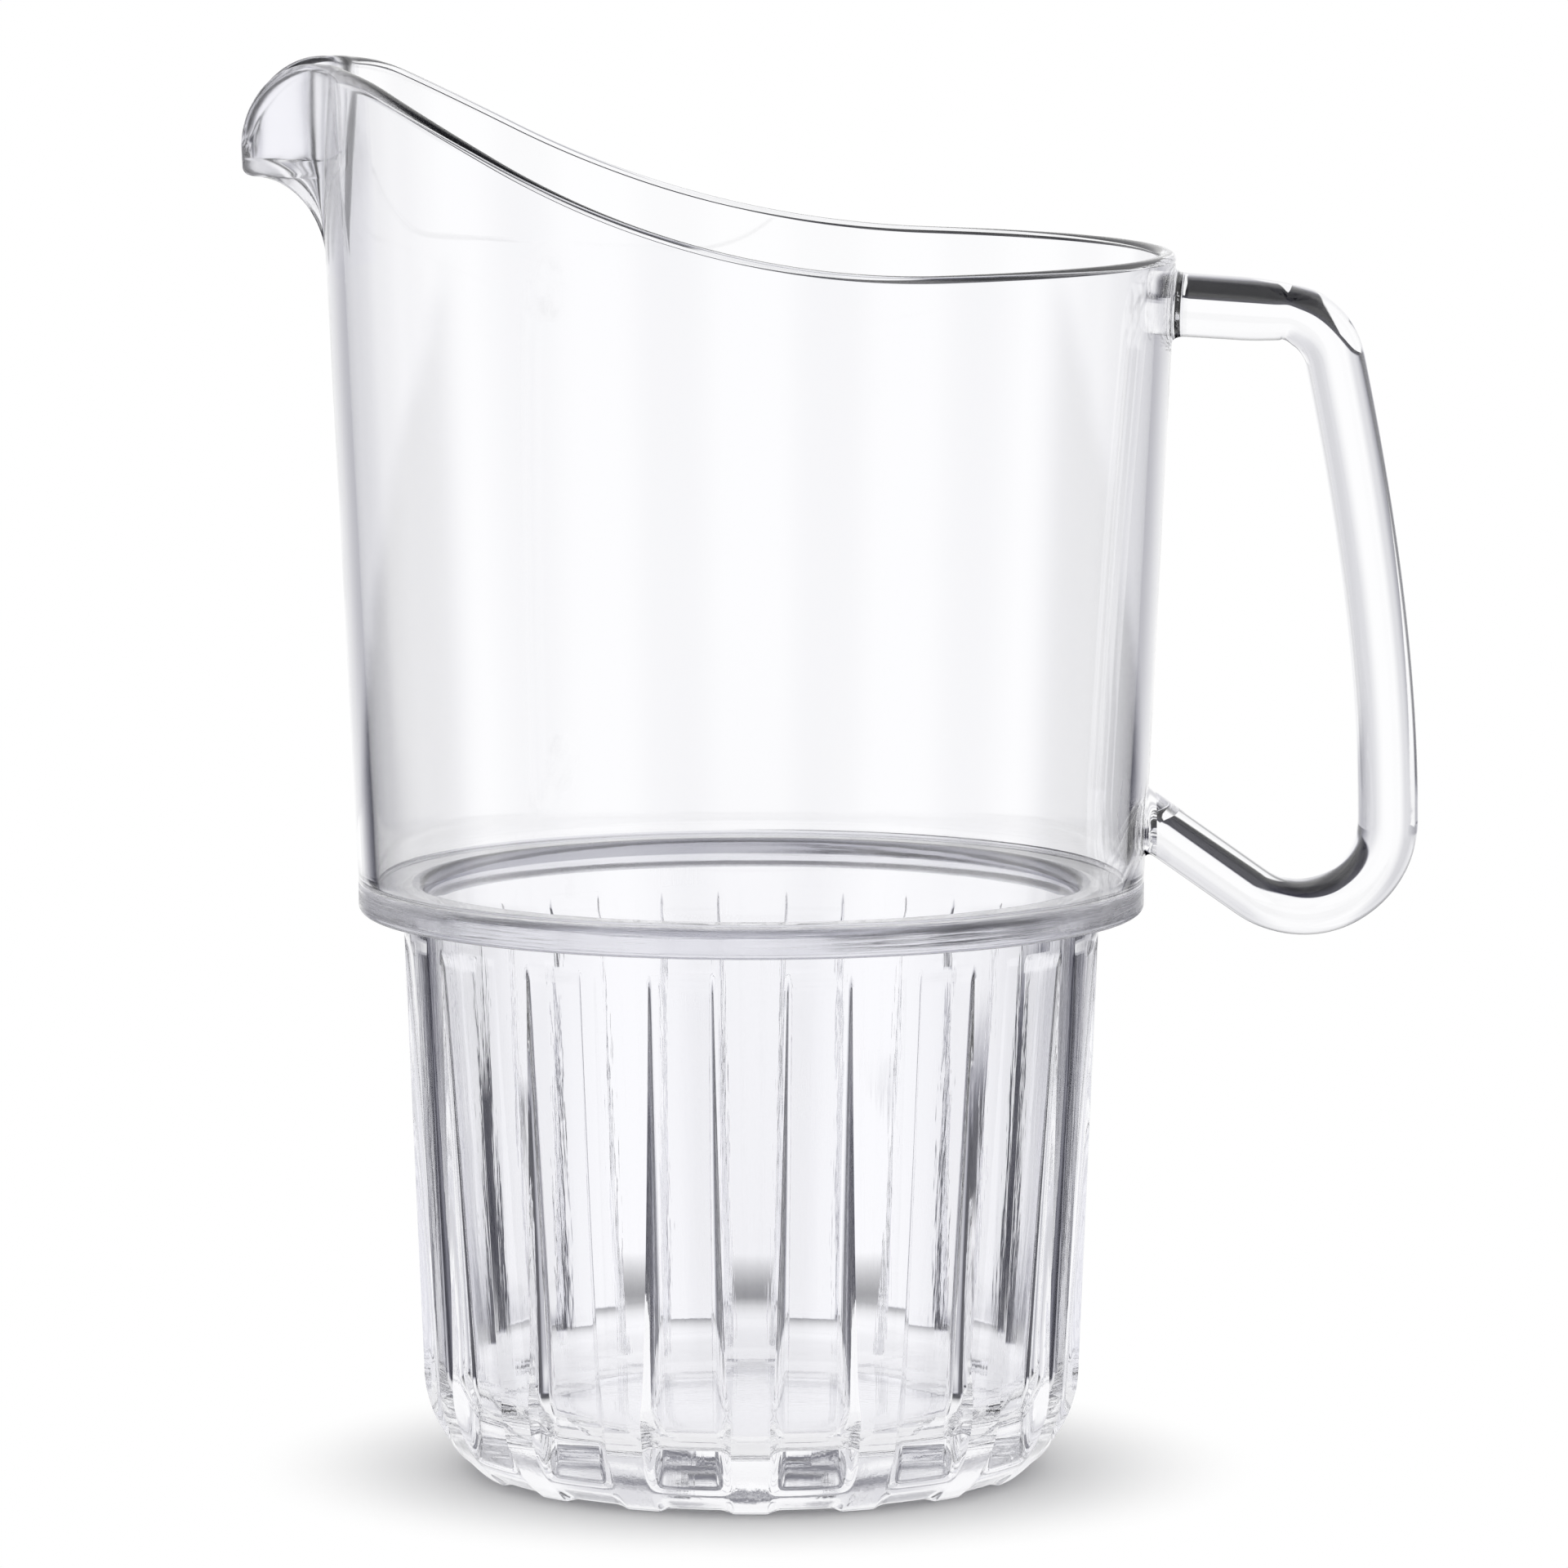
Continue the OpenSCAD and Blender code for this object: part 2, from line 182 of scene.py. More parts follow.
@dataclass(frozen=True)
class ClearPlastic:
    """Injection-moulded clear plastic: polished, faintly grey, with the mould's fine lines in its surface.

    The lines drift in roughness and stand up by some hundredths of a millimetre, so that what shows through
    the wall wavers a little, as it does in a moulded bowl. The roughness fades in over the height from
    clear_z to hazy_z, which lie under the table unless a finish says otherwise.
    """

    name: str
    tint: str
    drag: Drag
    rough_low: float
    rough_high: float
    line_mm: float
    clear_z: float = -1.0
    hazy_z: float = 0.0
    noise_low: float = 0.3
    noise_high: float = 0.7
    wave_mm: float = 0.02
    wave_cycle: float = 24.0
    ior: float = 1.57

    def material(self) -> bpy.types.Material:
        """Make the finish.

        Returns:
            The new material.
        """
        made = bpy.data.materials.new(self.name)
        made.use_nodes = True
        tree = made.node_tree
        shader = tree.nodes["Principled BSDF"]
        shader.inputs["Base Color"].default_value = linear(self.tint)
        shader.inputs["IOR"].default_value = self.ior
        shader.inputs["Transmission Weight"].default_value = 1.0
        place = add_node(tree, "ShaderNodeTexCoord").outputs["Object"]
        cycles = [1 / (mm * MM) for mm in self.drag.value]
        lined = add_node(tree, "ShaderNodeMapping", {"Vector": place, "Scale": cycles}).outputs[0]
        fine = {"Vector": lined, "Scale": 1.0, "Detail": 3.0}
        lines = add_node(tree, "ShaderNodeTexNoise", fine).outputs[0]
        broad = {"Vector": place, "Scale": 1 / (self.wave_cycle * MM), "Detail": 1.0}
        wave = add_node(tree, "ShaderNodeTexNoise", broad).outputs[0]
        drift = {"Value": lines, "From Min": self.noise_low, "From Max": self.noise_high}
        drift |= {"To Min": self.rough_low, "To Max": self.rough_high}
        rough = add_node(tree, "ShaderNodeMapRange", drift).outputs[0]
        swells = {"Strength": 1.0, "Distance": self.wave_mm * MM, "Height": wave}
        swell = add_node(tree, "ShaderNodeBump", swells).outputs[0]
        ridges = {"Strength": 1.0, "Distance": self.line_mm * MM, "Height": lines, "Normal": swell}
        relief = add_node(tree, "ShaderNodeBump", ridges).outputs[0]
        height = add_node(tree, "ShaderNodeSeparateXYZ", {0: place}).outputs[2]
        rise = {"Value": height, "From Min": self.clear_z * MM, "From Max": self.hazy_z * MM}
        haze = add_node(tree, "ShaderNodeMapRange", rise).outputs[0]
        hazed = add_node(tree, "ShaderNodeMath", {0: rough, 1: haze}, operation="MULTIPLY").outputs[0]
        tree.links.new(hazed, shader.inputs["Roughness"])
        tree.links.new(relief, shader.inputs["Normal"])
        return made


@dataclass(frozen=True)
class WeldLine:
    """The faces where two pieces are fused: plastic on both sides, so nothing shows there."""

    name: str = "fused plastic weld"

    def material(self) -> bpy.types.Material:
        """Make the finish.

        Returns:
            The new material.
        """
        made = bpy.data.materials.new(self.name)
        made.use_nodes = True
        made.node_tree.nodes["Principled BSDF"].inputs["Alpha"].default_value = 0.0
        return made


# Moulded against a polished tool: a clear wall with crisp edges and a faint waver in what shows through.
BOWL_PLASTIC = ClearPlastic("moulded clear SAN", "fefeff", Drag.EVEN, 0.0, 0.03, 0.002)
# Moulded against a hand-finished tool: a faint haze that softens the beak and fades out below it.
BEAK_PLASTIC = ClearPlastic(
    "moulded clear SAN, beak", "fcfcff", Drag.EVEN, 0.1, 0.2, 0.002, clear_z=191.0, hazy_z=206.0
)
# Drawn upwards out of the tool: fine upright lines that roughen the edges of the dark wedges.
FLUTED_PLASTIC = ClearPlastic("moulded clear SAN, fluted", "fdfdff", Drag.UPRIGHT, 0.0, 0.04, 0.012)
# Turned in the tool: level streaks that blur what is behind it. Its grey tint is painted shade on clear
# plastic, standing for the ledge's thickness that shows darker through the wall.
STEP_PAINTED_SHADE_PLASTIC = ClearPlastic("moulded clear SAN, step with painted shade", "dcdce4", Drag.ROUND, 0.1, 0.3, 0.06)
# Thick rounded edge of the ledge: a smoke-grey tint painted as shade on clear plastic, standing for the dark
# of the step under it that the thick plastic bends into view.
LIP_PAINTED_SHADE_PLASTIC = ClearPlastic("moulded clear SAN, ledge lip with painted shade", "9a9aa4", Drag.ROUND, 0.0, 0.12, 0.02)
# Thick bar from a polished tool: clear, with dark and white bands that run along it.
HANDLE_PLASTIC = ClearPlastic("moulded clear SAN, handle", "fefeff", Drag.EVEN, 0.0, 0.03, 0.003)


@dataclass
class Finishes:
    """The materials of the pieces, made once."""

    bowl: bpy.types.Material = field(default_factory=BOWL_PLASTIC.material)
    beak: bpy.types.Material = field(default_factory=BEAK_PLASTIC.material)
    fluted: bpy.types.Material = field(default_factory=FLUTED_PLASTIC.material)
    # The step's grey tint is painted shade.
    step: bpy.types.Material = field(default_factory=STEP_PAINTED_SHADE_PLASTIC.material)
    # The lip's smoke-grey tint is painted shade.
    lip: bpy.types.Material = field(default_factory=LIP_PAINTED_SHADE_PLASTIC.material)
    handle: bpy.types.Material = field(default_factory=HANDLE_PLASTIC.material)
    weld: bpy.types.Material = field(default_factory=WeldLine().material)


@dataclass
class Spun:
    """A profile turned about the bowls' axis, which keeps the profile row that each vertex comes from."""

    profile: Sequence[Point]
    closed: bool
    steps: int
    start: float = 0.0
    sweep: float = math.tau
    sectors: int = 8
    mesh: bmesh.types.BMesh = field(init=False)
    row: bmesh.types.BMLayerItem = field(init=False)

    def __post_init__(self) -> None:
        """Draw the profile and spin it, a full turn as equal sectors that are copied round."""
        self.mesh = bmesh.new()
        self.row = self.mesh.verts.layers.int.new("row")
        drawn = [self.mesh.verts.new(polar(r, self.start, z)) for r, z in self.profile]
        for i, vert in enumerate(drawn):
            vert[self.row] = i
        pairs = list(zip(drawn, drawn[1:]))
        if self.closed:
            pairs.append((drawn[-1], drawn[0]))
        edges = [self.mesh.edges.new(pair) for pair in pairs]
        sectors = self.sectors if self.sweep == math.tau else 1
        bmesh.ops.spin(
            self.mesh,
            geom=[*drawn, *edges],
            cent=(0, 0, 0),
            axis=(0, 0, 1),
            angle=self.sweep / sectors,
            steps=self.steps // sectors,
            use_merge=False,
            use_duplicate=False,
        )
        first = [*self.mesh.verts, *self.mesh.edges, *self.mesh.faces]
        for i in range(1, sectors):
            copy = bmesh.ops.duplicate(self.mesh, geom=first)["geom"]
            moved = [item for item in copy if isinstance(item, bmesh.types.BMVert)]
            turn = Matrix.Rotation(self.sweep * i / sectors, 3, "Z")
            bmesh.ops.rotate(self.mesh, verts=moved, cent=(0, 0, 0), matrix=turn)
        bmesh.ops.remove_doubles(self.mesh, verts=self.mesh.verts, dist=MERGE)

    def place(self, where: Callable[[int, float], tuple[float, float, float]]) -> None:
        """Move every vertex.

        Args:
            where: Gives a radius, an angle and a height for a profile row and the angle that it was spun to.
        """
        pitch = self.sweep / self.steps
        for vert in self.mesh.verts:
            angle = math.atan2(vert.co.y, vert.co.x) - self.start + pitch / 2
            column = math.floor((angle % math.tau) / pitch)
            vert.co = polar(*where(vert[self.row], self.start + column * pitch))

    def mark_rows(self, rows: Iterable[tuple[int, int]], kind: Face) -> None:
        """Set what the bands between these pairs of neighbouring rows are.

        Args:
            rows: Pairs of row numbers.
            kind: What they are.
        """
        wanted = {frozenset(pair) for pair in rows}
        for face in self.mesh.faces:
            if frozenset(vert[self.row] for vert in face.verts) in wanted:
                face.material_index = kind.value


def fill_ends(mesh: bmesh.types.BMesh) -> None:
    """Close every open loop of a mesh with a weld face.

    Args:
        mesh: The mesh.
    """
    open_edges = [edge for edge in mesh.edges if edge.is_boundary]
    made = bmesh.ops.holes_fill(mesh, edges=open_edges, sides=0)["faces"]
    for face in made:
        face.material_index = Face.WELD.value


def make_piece(
    name: str, mesh: bmesh.types.BMesh, node: str, materials: Sequence[bpy.types.Material]
) -> bpy.types.Object:
    """Turn a finished mesh into a piece that stands for a CAD node.

    Args:
        name: The piece's name.
        mesh: Its mesh, which is freed.
        node: The CAD node that it replaces.
        materials: Its finishes, in the order of Face.

    Returns:
        The new object.
    """
    bmesh.ops.remove_doubles(mesh, verts=mesh.verts, dist=MERGE)
    bmesh.ops.dissolve_degenerate(mesh, dist=MERGE / 2, edges=mesh.edges)
    bmesh.ops.recalc_face_normals(mesh, faces=mesh.faces)
    data = bpy.data.meshes.new(name)
    for face in mesh.faces:
        face.smooth = True
    mesh.to_mesh(data)
    mesh.free()
    data.set_sharp_from_angle(angle=SHARP)
    for material in materials:
        data.materials.append(material)
    piece = bpy.data.objects.new(name, data)
    bpy.context.scene.collection.objects.link(piece)
    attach(piece, "root")
    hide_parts(node)
    LOG.info("%s: %d faces", name, len(data.polygons))
    return piece


@dataclass(frozen=True)
class WallForm:
    """The tapered upper wall, its climbing rim and the beak that swells out of it."""

    foot_z: float = 94.5
    foot_r: float = 62.4
    rim_z: float = 194.4
    rim_r: float = 67.15
    wall: float = 2.8
    lip: float = 1.2
    climb_x: float = 30.0
    climb_r: float = 149.0
    slope: float = math.radians(28)
    crest_r: float = 25.6
    crest_x: float = 70.0
    half_angle: float = math.radians(17.5)
    crest_angle: float = math.radians(11.0)
    reach: float = 12.4
    drop: float = 18.2
    under_r: float = 13.4
    margin: float = 1.6
    close_power: float = 0.8
    wall_r: float = 68.2
    front_r: float = 80.0
    front_soft: float = 0.9
    crease: float = 0.65
    keel: float = 0.1
    flank: float = 0.35
    flank_rise: float = 6.0
    lip_wall: float = 1.9
    lip_floor: float = 3.2
    tip_round: float = 1.5
    side_out: float = 0.5
    side_in: float = 7.5

    def radius(self, z: float) -> float:
        """Return the wall's outer radius at a height."""
        return mix(self.foot_r, self.rim_r, (z - self.foot_z) / (self.rim_z - self.foot_z))

    def rim_height(self, x: float) -> float:
        """Return the rim's height over a distance along X: level, then a climb, a slope and a crest."""
        slope_x = self.climb_x - self.climb_r * math.sin(self.slope)
        slope_z = self.rim_z + self.climb_r * (1 - math.cos(self.slope))
        crest_start = self.crest_r * math.sin(self.slope) - self.crest_x
        if x > self.climb_x:
            return self.rim_z
        if x > slope_x:
            return self.rim_z + self.climb_r - math.sqrt(self.climb_r**2 - (self.climb_x - x) ** 2)
        if x > crest_start:
            return slope_z + (slope_x - x) * math.tan(self.slope)
        crest = slope_z + (slope_x - crest_start) * math.tan(self.slope)
        crest += self.crest_r * (1 - math.cos(self.slope))
        return crest - self.crest_r + math.sqrt(self.crest_r**2 - min(x + self.crest_x, self.crest_r) ** 2)

    def edge_height(self, angle: float) -> float:
        """Return the rim's height at an angle from the handle."""
        z = self.rim_z
        for _ in range(ROUNDS):
            z = self.rim_height(self.radius(z) * math.cos(angle))
        return z

    @property
    def crest_z(self) -> float:
        """Height of the crest."""
        return self.rim_height(-self.crest_x)

    @property
    def tip_z(self) -> float:
        """Height of the underside of the beak's tip."""
        return self.crest_z - self.drop

    @property
    def root_z(self) -> float:
        """Height at which the beak starts to leave the wall."""
        return self.tip_z - self.under_r

    @property
    def notch_z(self) -> float:
        """Height of the level seam under the beak."""
        return self.root_z - self.margin

    @property
    def join_z(self) -> float:
        """Height of the rim where the spout meets the wall."""
        return self.edge_height(math.pi - self.half_angle)

    def nose(self, share: float) -> float:
        """Return the beak's reach at a share of its half angle, as a share of its full reach.

        Seen from above, the beak has straight sides that close in on a blunt front.
        """
        turn = min(1.0, share) * self.half_angle
        side_x, side_y = self.front_r - self.side_out, self.side_in
        wall_x, wall_y = self.wall_r * math.cos(self.half_angle), self.wall_r * math.sin(self.half_angle)
        along_x, along_y = side_x - wall_x, wall_y - side_y
        side = (wall_x * along_y + wall_y * along_x) / (along_y * math.cos(turn) + along_x * math.sin(turn))
        soft, depth = self.front_soft, self.front_r - self.wall_r
        blunt = -soft * math.log(math.exp(-(side - self.wall_r) / soft) + math.exp(-depth / soft))
        return max(0.0, blunt) / depth * ease((1 - share) / self.crease)

    def spread(self, z: float) -> float:
        """Return the beak's half angle at a height. It narrows to nothing at the root."""
        least = 0.02
        level = min(1.0, max(least, (z - self.root_z) / (self.join_z - self.root_z)))
        return self.half_angle * level**self.close_power

    def mouth_height(self, turn: float) -> float:
        """Return the height of the spout's mouth at an angle from its middle.

        From the side, the mouth's edge is an ellipse.
        """
        off = abs(turn)
        if off >= self.crest_angle:
            share = (off - self.crest_angle) / (self.half_angle - self.crest_angle)
            return mix(self.crest_z, self.join_z, share**2)
        low, high = self.tip_z + self.lip_floor + self.lip, self.crest_z
        crest_x = self.out_x(self.crest_angle, high)
        front_x = self.out_x(0.0, high)
        bottom, top = low, high
        for _ in range(HALVINGS):
            z = (bottom + top) / 2
            run_out = min(1.0, max(0.0, (self.out_x(off, z) - crest_x) / (front_x - crest_x)))
            if mix(low, high, math.sqrt(1 - run_out**2)) > z:
                bottom = z
            else:
                top = z
        return bottom

    def out_x(self, turn: float, z: float) -> float:
        """Return how far out along X the beak's full reach comes at an angle and height."""
        share = self.nose(turn / self.spread(z))
        return (self.wall_r + self.reach * share) * math.cos(turn)


@dataclass(frozen=True)
class HandleForm:
    """The path and section of the loop handle, in the plane of the spout and handle."""

    grip_t: float = 9.5
    grip_w: float = 14.0
    power: float = 2.4
    upper_root: Point = (68.741, 185.8)
    lower_root: Point = (64.209, 103.1)
    upper_bend: Point = (83.041, 175.4)
    lower_bend: Point = (87.359, 103.7)
    upper_bend_r: float = 9.4
    lower_bend_r: float = 13.8
    knee_share: float = 0.574
    places: tuple[float, ...] = (0, 0.05, 0.11, 0.19, 0.3, 0.66, 0.78, 0.88, 1)
    shares: tuple[float, ...] = (1.06, 1.05, 0.92, 0.99, 1, 1, 0.95, 0.89, 0.89)
    arm_steps: int = 4
    bend_steps: int = 12
    grip_steps: int = 14
    cut_stations: float = 1.5

    @property
    def last(self) -> int:
        """Number of the path's last station."""
        return 2 * self.arm_steps + 2 * self.bend_steps + self.grip_steps

    @property
    def lean(self) -> float:
        """Lean of the grip below the upper bend."""
        out = self.lower_bend[0] + self.lower_bend_r - self.upper_bend[0] - self.upper_bend_r
        return math.atan2(out, self.knee_share * (self.upper_bend[1] - self.lower_bend[1]))

    @property
    def upper_slope(self) -> float:
        """Slope of the upper arm, which touches the upper bend from above."""
        d = Vector(self.upper_bend) - Vector(self.upper_root)
        return math.atan2(d.y, d.x) + math.asin(self.upper_bend_r / d.length)

    @property
    def lower_slope(self) -> float:
        """Slope of the lower arm, which touches the lower bend from below."""
        d = Vector(self.lower_bend) - Vector(self.lower_root)
        return math.atan2(d.y, d.x) - math.asin(self.lower_bend_r / d.length)

    def on_bend(self, centre: Point, radius: float, angle: float) -> Vector:
        """Return the point of a bend at an angle."""
        return Vector(centre) + radius * Vector((math.cos(angle), math.sin(angle)))

    def point(self, station: float) -> Vector:
        """Return the point of the path at a station.

        Args:
            station: From 0 at the upper root to last at the lower root.

        Returns:
            The point as X and Z.
        """
        quarter = math.pi / 2
        upper_end = self.on_bend(self.upper_bend, self.upper_bend_r, self.lean)
        lower_start = self.on_bend(self.lower_bend, self.lower_bend_r, 0)
        if station < self.arm_steps:
            touch = self.on_bend(self.upper_bend, self.upper_bend_r, quarter + self.upper_slope)
            return Vector(self.upper_root).lerp(touch, station / self.arm_steps)
        station -= self.arm_steps
        if station < self.bend_steps:
            turn = mix(quarter + self.upper_slope, self.lean, station / self.bend_steps)
            return self.on_bend(self.upper_bend, self.upper_bend_r, turn)
        station -= self.bend_steps
        if station < self.grip_steps:
            knee = Vector((lower_start.x, mix(upper_end.y, lower_start.y, self.knee_share)))
            t = station / self.grip_steps
            return upper_end.lerp(knee, t).lerp(knee.lerp(lower_start, t), t)
        station -= self.grip_steps
        if station < self.bend_steps:
            turn = mix(0, self.lower_slope - quarter, station / self.bend_steps)
            return self.on_bend(self.lower_bend, self.lower_bend_r, turn)
        station -= self.bend_steps
        touch = self.on_bend(self.lower_bend, self.lower_bend_r, self.lower_slope - quarter)
        return touch.lerp(Vector(self.lower_root), station / self.arm_steps)

    def thickness(self, station: float) -> float:
        """Return the bar's thickness at a station."""
        share = station / self.last
        for i in range(len(self.places) - 1):
            if share <= self.places[i + 1]:
                t = (share - self.places[i]) / (self.places[i + 1] - self.places[i])
                return self.grip_t * mix(self.shares[i], self.shares[i + 1], ease(t))
        return self.grip_t * self.shares[-1]

    def section(self, turn: float) -> Point:
        """Return a point of the rounded section, across and thick, as shares of its half sizes."""
        across, thick = math.cos(turn), math.sin(turn)
        bend = 2 / self.power
        return (math.copysign(abs(across) ** bend, across), math.copysign(abs(thick) ** bend, thick))

    def ring_point(self, station: float, turn: float) -> Vector:
        """Return a point of the bar's surface. Its ends are cut upright, where they meet the wall's roots.

        Args:
            station: Place along the path.
            turn: Angle round the section, 0 towards +Y.

        Returns:
            The point in millimetres.
        """
        step = 0.05
        before, after = self.point(max(0, station - step)), self.point(min(self.last, station + step))
        along = after - before
        normal = math.atan2(along.y, along.x) + math.pi / 2
        from_end = min(station, self.last - station)
        upright = math.pi / 2 if station < self.last / 2 else -math.pi / 2
        swing = (normal - upright + math.pi) % math.tau - math.pi
        tilt = upright + swing * ease(from_end / self.cut_stations)
        half = self.thickness(station) / 2 / math.cos(normal - tilt)
        across, thick = self.section(turn)
        centre = self.point(station)
        return Vector(
            (
                centre.x + math.cos(tilt) * thick * half,
                across * self.grip_w / 2,
                centre.y + math.sin(tilt) * thick * half,
            )
        )


@dataclass(frozen=True)
class Root:
    """A patch of the upper wall, in rows and columns, that is drawn out to carry an end of the handle."""

    low_z: float
    high_z: float
    rows: int
    station: float
    slope: float
    foot: float
    columns: int = 10
    half_y: float = 9.6

    def middle(self) -> float:
        """Return the height of the patch's middle."""
        return (self.low_z + self.high_z) / 2


@dataclass
class UpperBowl:
    """The tapered wall with its rounded climbing rim, its notch for the spout and the handle's two roots."""

    wall: WallForm
    bar: HandleForm
    columns: int = 432
    fillet: float = 0.7
    fillet_steps: int = 8
    lip_steps: int = 10
    foot_rows: int = 2
    middle_rows: int = 14
    notch_rows: int = 2
    climb_rows: int = 14
    flare_steps: int = 6
    edge_gap: float = 0.3

    def roots(self) -> tuple[Root, Root]:
        """Return the upper and the lower root."""
        return (
            Root(low_z=178.8, high_z=192.4, rows=16, station=0, slope=self.bar.upper_slope, foot=1.5),
            Root(
                low_z=95.9,
                high_z=110.3,
                rows=16,
                station=self.bar.last,
                slope=self.bar.lower_slope + math.pi,
                foot=1.6,
            ),
        )

    def heights(self) -> list[float]:
        """Return the heights of the wall's rows at the handle, from the step to the rim's rounding."""
        upper, lower = self.roots()
        stops = (
            (lower.low_z, self.foot_rows),
            (lower.high_z, lower.rows),
            (upper.low_z, self.middle_rows),
            (self.wall.notch_z, upper.rows - self.notch_rows),
            (upper.high_z, self.notch_rows),
            (self.wall.rim_z - self.wall.lip, self.climb_rows),
        )
        start = self.wall.foot_z
        heights = [start]
        for stop, rows in stops:
            heights += [z for _, z in run((0, start), (0, stop), rows)][1:]
            start = stop
        return heights

    def build(self, finishes: Finishes) -> bpy.types.Object:
        """Build and dress the upper bowl.

        Args:
            finishes: The materials.

        Returns:
            The piece.
        """
        form = self.wall
        heights = self.heights()
        count = len(heights)
        outer = [(form.radius(z), z) for z in heights]
        top_r = form.radius(heights[-1])
        lip = [
            (top_r - form.wall / 2 * (1 - math.cos(a)), heights[-1] + form.lip * math.sin(a))
            for a in [math.pi * i / self.lip_steps for i in range(1, self.lip_steps)]
        ]
        toe_r, toe_z = form.foot_r - form.wall - self.fillet, form.foot_z + self.fillet
        inner = [(form.radius(z) - form.wall, z) for z in reversed(heights) if z > toe_z]
        toe = arc((toe_r, toe_z), self.fillet, 0, -math.pi / 2, self.fillet_steps)
        profile = outer + lip + inner + toe
        spun = Spun(profile, True, self.columns)
        inner_start = count + len(lip)

        def where(row: int, angle: float) -> tuple[float, float, float]:
            """Lift the rows over the notch's height to the rim's climbing edge."""
            r, z = profile[row]
            if z <= form.notch_z:
                return r, angle, z
            top = form.edge_height(angle) - form.lip
            lifted = mix(form.notch_z, top, min(1.0, (z - form.notch_z) / (heights[-1] - form.notch_z)))
            lifted += max(0.0, z - heights[-1])
            return r - form.radius(min(z, heights[-1])) + form.radius(min(lifted, top)), angle, lifted

        spun.place(where)
        spun.mark_rows([(len(profile) - 1, 0)], Face.WELD)
        mesh = spun.mesh
        bmesh.ops.remove_doubles(mesh, verts=mesh.verts, dist=MERGE)
        partner = {i: inner_start + count - 1 - i for i in range(count)}
        self.cut_notch(mesh, spun.row, lambda row, angle: polar(*where(partner[row], angle)), count)
        for root in self.roots():
            self.grow_root(mesh, spun.row, count, root)
        return make_piece("upper_bowl_wall", mesh, "upper_bowl", [finishes.bowl, finishes.weld])

    def cut_notch(
        self,
        mesh: bmesh.types.BMesh,
        row: bmesh.types.BMLayerItem,
        inside: Callable[[int, float], Vector],
        count: int,
    ) -> None:
        """Take the spout's wedge out of the wall and close the cut with weld faces.

        Args:
            mesh: The wall.
            row: Its layer of profile rows.
            inside: Gives the inner wall's point that faces an outer row at an angle.
            count: How many rows the outer wall has.
        """
        limit = self.wall.half_angle + TURN_SLACK
        low = (self.wall.notch_z - HEIGHT_SLACK) * MM

        def in_wedge(vert: bmesh.types.BMVert) -> bool:
            """Tell whether a vertex is in the wedge."""
            return abs(math.atan2(-vert.co.y, -vert.co.x)) < limit and vert.co.z > low

        doomed = [face for face in mesh.faces if all(in_wedge(vert) for vert in face.verts)]
        bmesh.ops.delete(mesh, geom=doomed, context="FACES")
        rim = [edge for edge in mesh.edges if edge.is_boundary and all(v[row] < count for v in edge.verts)]
        made = bmesh.ops.extrude_edge_only(mesh, edges=rim)["geom"]
        for vert in (item for item in made if isinstance(item, bmesh.types.BMVert)):
            vert.co = inside(vert[row], math.atan2(vert.co.y, vert.co.x))
            for face in vert.link_faces:
                face.material_index = Face.WELD.value
        bmesh.ops.remove_doubles(mesh, verts=mesh.verts, dist=3 * MERGE)
        fill_ends(mesh)

    def grow_root(
        self, mesh: bmesh.types.BMesh, row: bmesh.types.BMLayerItem, count: int, root: Root
    ) -> None:
        """Open the wall under an end of the handle and draw it out into a flared root.

        Args:
            mesh: The wall.
            row: Its layer of profile rows.
            count: How many rows the outer wall has.
            root: The root.
        """
        limit = math.tau / self.columns * root.columns + TURN_SLACK
        low, high = (root.low_z - HEIGHT_SLACK) * MM, (root.high_z + HEIGHT_SLACK) * MM

        def in_patch(vert: bmesh.types.BMVert) -> bool:
            """Tell whether a vertex is in the root's patch of the outer wall."""
            inside = vert[row] < count and low < vert.co.z < high
            return inside and abs(math.atan2(vert.co.y, vert.co.x)) < limit

        doomed = [face for face in mesh.faces if all(in_patch(vert) for vert in face.verts)]
        bmesh.ops.delete(mesh, geom=doomed, context="FACES")
        ring = [edge for edge in mesh.edges if edge.is_boundary]
        turns = {vert: patch_turn(vert.co, root) for edge in ring for vert in edge.verts}
        for step in range(self.flare_steps + 1):
            made = bmesh.ops.extrude_edge_only(mesh, edges=ring)["geom"]
            ring = [item for item in made if isinstance(item, bmesh.types.BMEdge) and item.is_boundary]
            moved = {}
            for vert in {vert for edge in ring for vert in edge.verts}:
                others = (edge.other_vert(vert) for edge in vert.link_edges)
                moved[vert] = turns[next(other for other in others if other in turns)]
            for vert, turn in moved.items():
                vert.co = self.flare_point(root, turn, step / self.flare_steps) * MM
            turns = moved
        fill_ends(mesh)

    def flare_point(self, root: Root, turn: float, t: float) -> Vector:
        """Return a point of a root's flare, which leaves the wall smoothly and ends as the bar's own section.

        Args:
            root: The root.
            turn: Angle round the section.
            t: From 0 on the wall to 1 at the bar's end.

        Returns:
            The point in millimetres.
        """
        end = self.bar.ring_point(root.station, turn)
        centre = self.bar.point(root.station)
        along = Vector((math.cos(root.slope), 0, math.sin(root.slope)))
        corner = end.copy()
        for _ in range(ROUNDS):
            corner -= along * ((corner.x - self.wall_x(corner)) / along.x)
        outward = Vector((0, end.y, end.z - centre.y))
        outward.normalize()
        foot = corner + outward * root.foot
        foot.z = min(foot.z, root.high_z - self.edge_gap)
        foot.x = self.wall_x(foot)
        return foot.lerp(corner, t).lerp(corner.lerp(end, t), t)

    def wall_x(self, point: Vector) -> float:
        """Return how far along X the outer wall is, at a point's Y and Z."""
        return math.sqrt(self.wall.radius(point.z) ** 2 - point.y**2)


